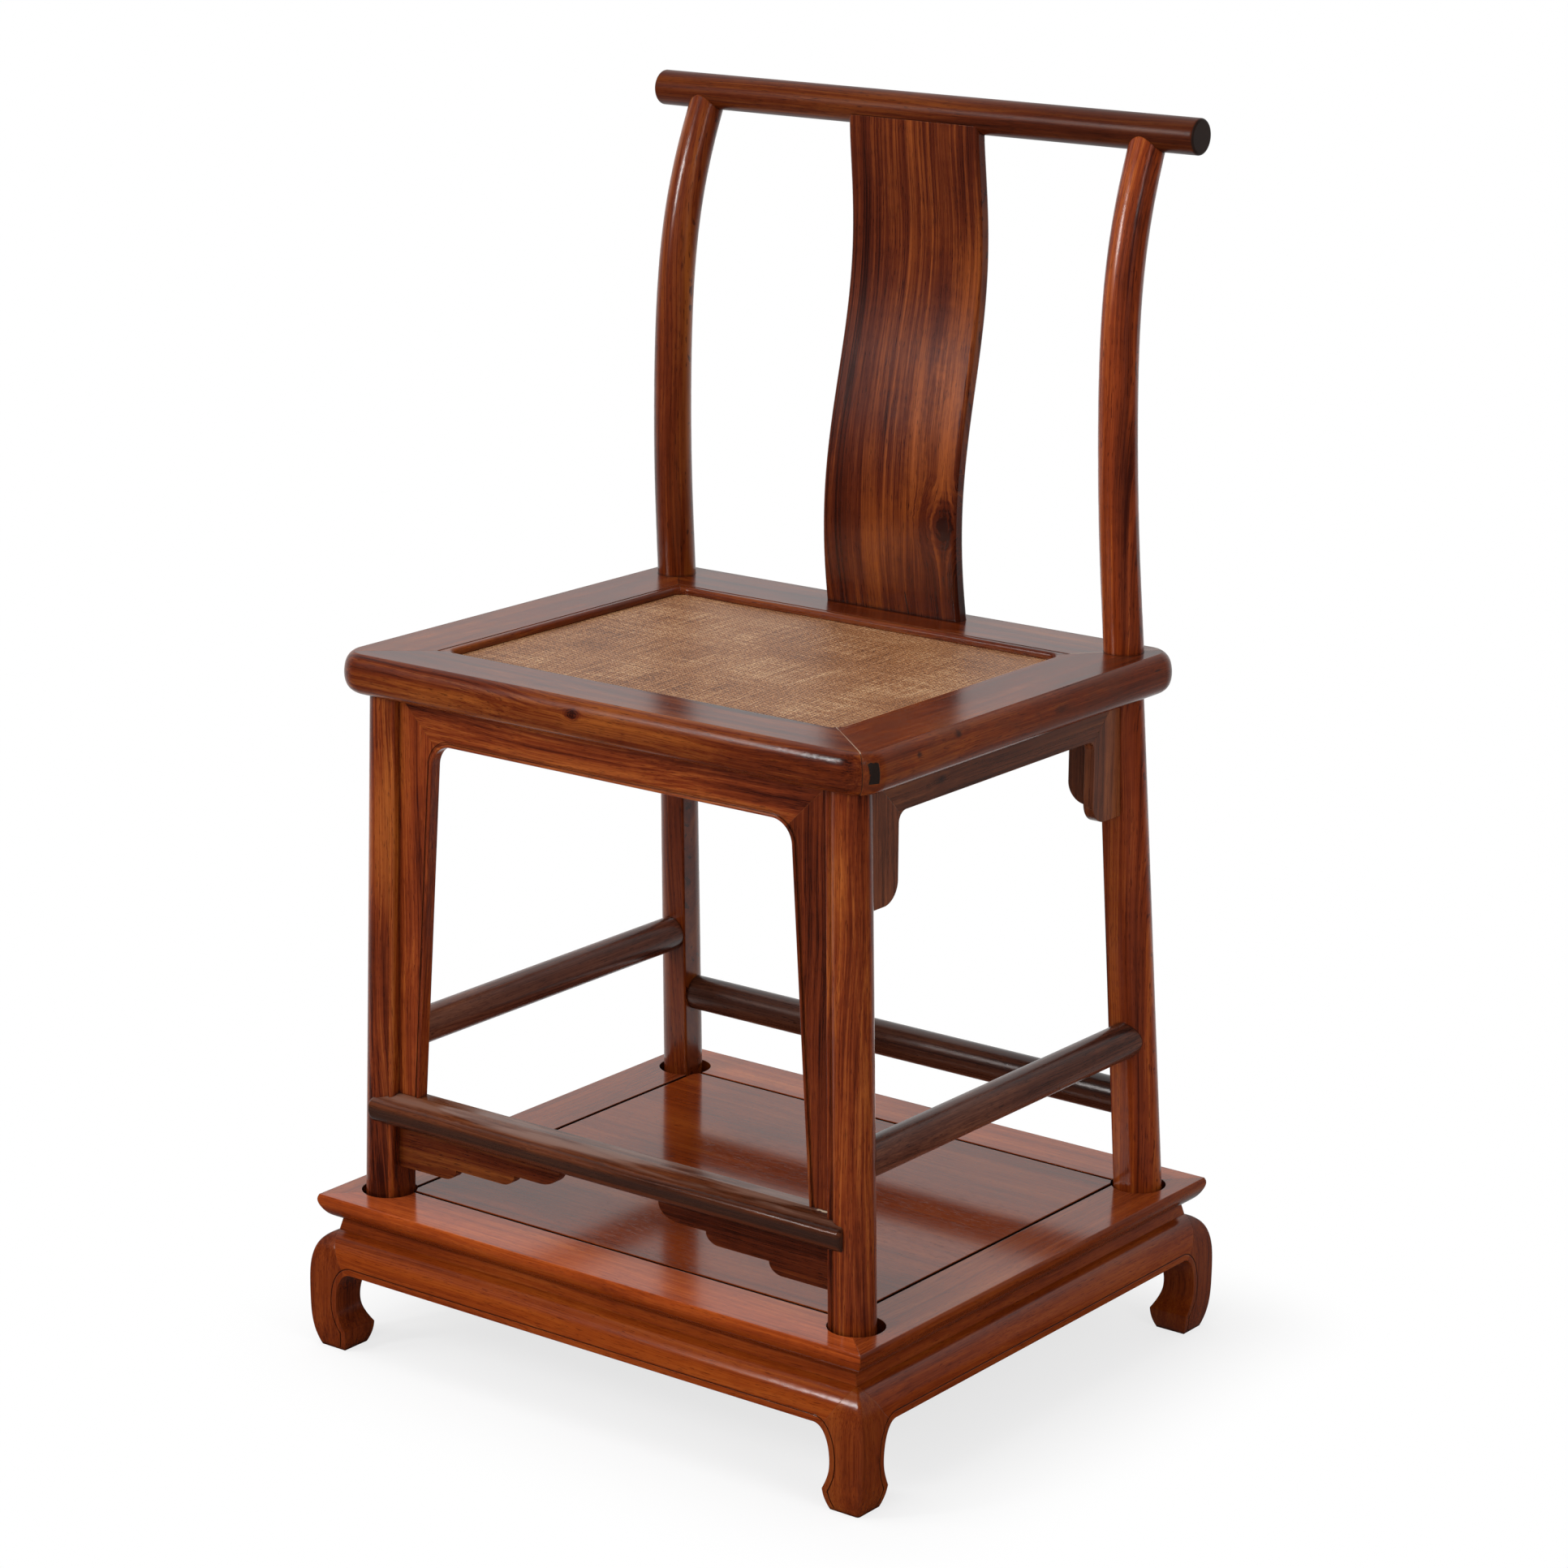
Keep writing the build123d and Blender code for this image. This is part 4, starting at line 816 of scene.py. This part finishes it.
def dress_side(side, shift, rear_leg_shade, spandrel_shade, stretcher_shade):
    """Legs, rail, apron and stretcher at the chair's left or right, each from its own stretch of noise."""
    chair, brown, dark = TONES["chair"], TONES["brown"], TONES["dark"]
    leg = wood("leg_" + side, chair, ALONG_Z, shift, shade=0.85, streaks=1.4, rough=0.20)
    rear_leg = wood("back_leg_" + side, chair, ALONG_Z, shift + 2.0, shade=rear_leg_shade, bent=ALONG_Y)
    front_spandrel = wood("front_spandrel_" + side, chair, ALONG_Z, shift + 5.0, shade=spandrel_shade)
    rail = wood("rail_" + side, chair, ALONG_Y, shift + 7.0, shade=0.80, specular=0.24, paint=paint_side_rail)
    head = wood("apron_" + side, brown, ALONG_Y, shift + 9.0, rough=0.28, paint=paint_side_apron)
    spandrel = wood("spandrel_" + side, brown, ALONG_Z, shift + 4.0, shade=1.4, rough=0.28)
    stretcher = wood(
        "stretcher_" + side, dark, ALONG_Y, shift + 4.0, shade=stretcher_shade, rough=0.24, specular=0.4,
    )
    give("front_leg_" + side, leg)
    give("rear_leg_" + side, rear_leg)
    give("front_spandrel_" + side, front_spandrel)
    give("seat_rail_" + side, rail)
    give("seat_bead_" + side, rail)
    give("seat_brace_" + side, head)
    give(side + "_apron_head", head)
    give("rear_spandrel_" + side, spandrel)
    give(side + "_spandrel_front", spandrel)
    give(side + "_spandrel_rear", spandrel)
    give("side_stretcher_" + side, stretcher)


def dress_end(end, shift, shade, paint):
    """Seat rail, bead and apron head at the chair's front or rear."""
    chair = TONES["chair"]
    rail = wood("rail_" + end, chair, ALONG_X, shift, shade, streaks=1.3, specular=0.42, paint=paint)
    head = wood("apron_" + end, chair, ALONG_X, shift + 4.0, shade=0.9, streaks=1.2)
    give("seat_rail_" + end, rail)
    give("seat_bead_" + end, rail)
    give(end + "_apron_head", head)


def dress_chair():
    chair, splat, brown, dark = TONES["chair"], TONES["splat"], TONES["brown"], TONES["dark"]
    # The left stretcher is lightened more than the right: painted light on its inner face, which little lamp
    # light reaches.
    dress_side("left", shift=0.0, rear_leg_shade=0.66, spandrel_shade=1.0, stretcher_shade=1.7)
    dress_side("right", shift=11.0, rear_leg_shade=1.12, spandrel_shade=0.75, stretcher_shade=1.15)
    dress_end("front", shift=3.0, shade=0.58, paint=paint_front_rail)
    dress_end("rear", shift=13.0, shade=0.62, paint=paint_rear_rail)
    give("crest_rail", wood(
        "crest_rail", chair, ALONG_X, shift=9.0, shade=0.42, rough=0.30, specular=0.15, paint=paint_crest,
    ))
    give("back_splat", wood(
        "back_splat", splat, ALONG_Z, shift=21.0, streaks=1.2, bent=ALONG_Y, paint=paint_splat,
    ))
    give("rear_stretcher", wood("rear_stretcher", dark, ALONG_X, shift=2.0, shade=0.6, rough=0.24))
    give("footrest", wood("footrest", brown, ALONG_X, shift=6.0, shade=0.9, rough=0.14, paint=paint_footrest))
    give("footrest_apron", wood("footrest_apron", chair, ALONG_X, shift=8.0, shade=0.45))


def dress_stand():
    def stand_wood(name, grain, shade=1.0, streaks=0.8, rough=0.14, paint=None):
        return wood(name, TONES["stand"], grain, shade=shade, streaks=streaks, rough=rough, paint=paint)

    leg = stand_wood("stand_upright", ALONG_Z, shade=0.82, rough=0.2)
    across = stand_wood("stand_across", ALONG_X)
    deep = stand_wood("stand_deep", ALONG_Y)
    # The front and rear frame pieces are lighter than the side pieces: painted light and shade on one wood.
    frame_across = stand_wood("stand_frame_across", ALONG_X, shade=1.4, paint=paint_frame)
    frame_deep = stand_wood("stand_frame_deep", ALONG_Y, shade=0.85, paint=paint_frame)
    # The panel's wood is lightened, partly as painted light that makes up for the chair's shadow on it.
    panel = stand_wood("stand_panel", ALONG_X, shade=1.4, streaks=0.6, rough=0.11, paint=paint_panel)
    give("stand_panel", panel)
    for end in ("front", "rear"):
        give("stand_frame_" + end, frame_across)
        give("stand_waist_" + end, across)
        give("stand_apron_" + end, across)
        for side in ("left", "right"):
            give(f"stand_leg_{end}_{side}", leg)
    for side in ("left", "right"):
        give("stand_frame_" + side, frame_deep)
        for part in ("waist", "apron", "batten"):
            give(f"stand_{part}_{side}", deep)


make_camera()
make_floor()
make_world()
make_lamps()
dress_chair()
dress_stand()
weave_mat()

bpy.context.scene.view_settings.view_transform = "Standard"
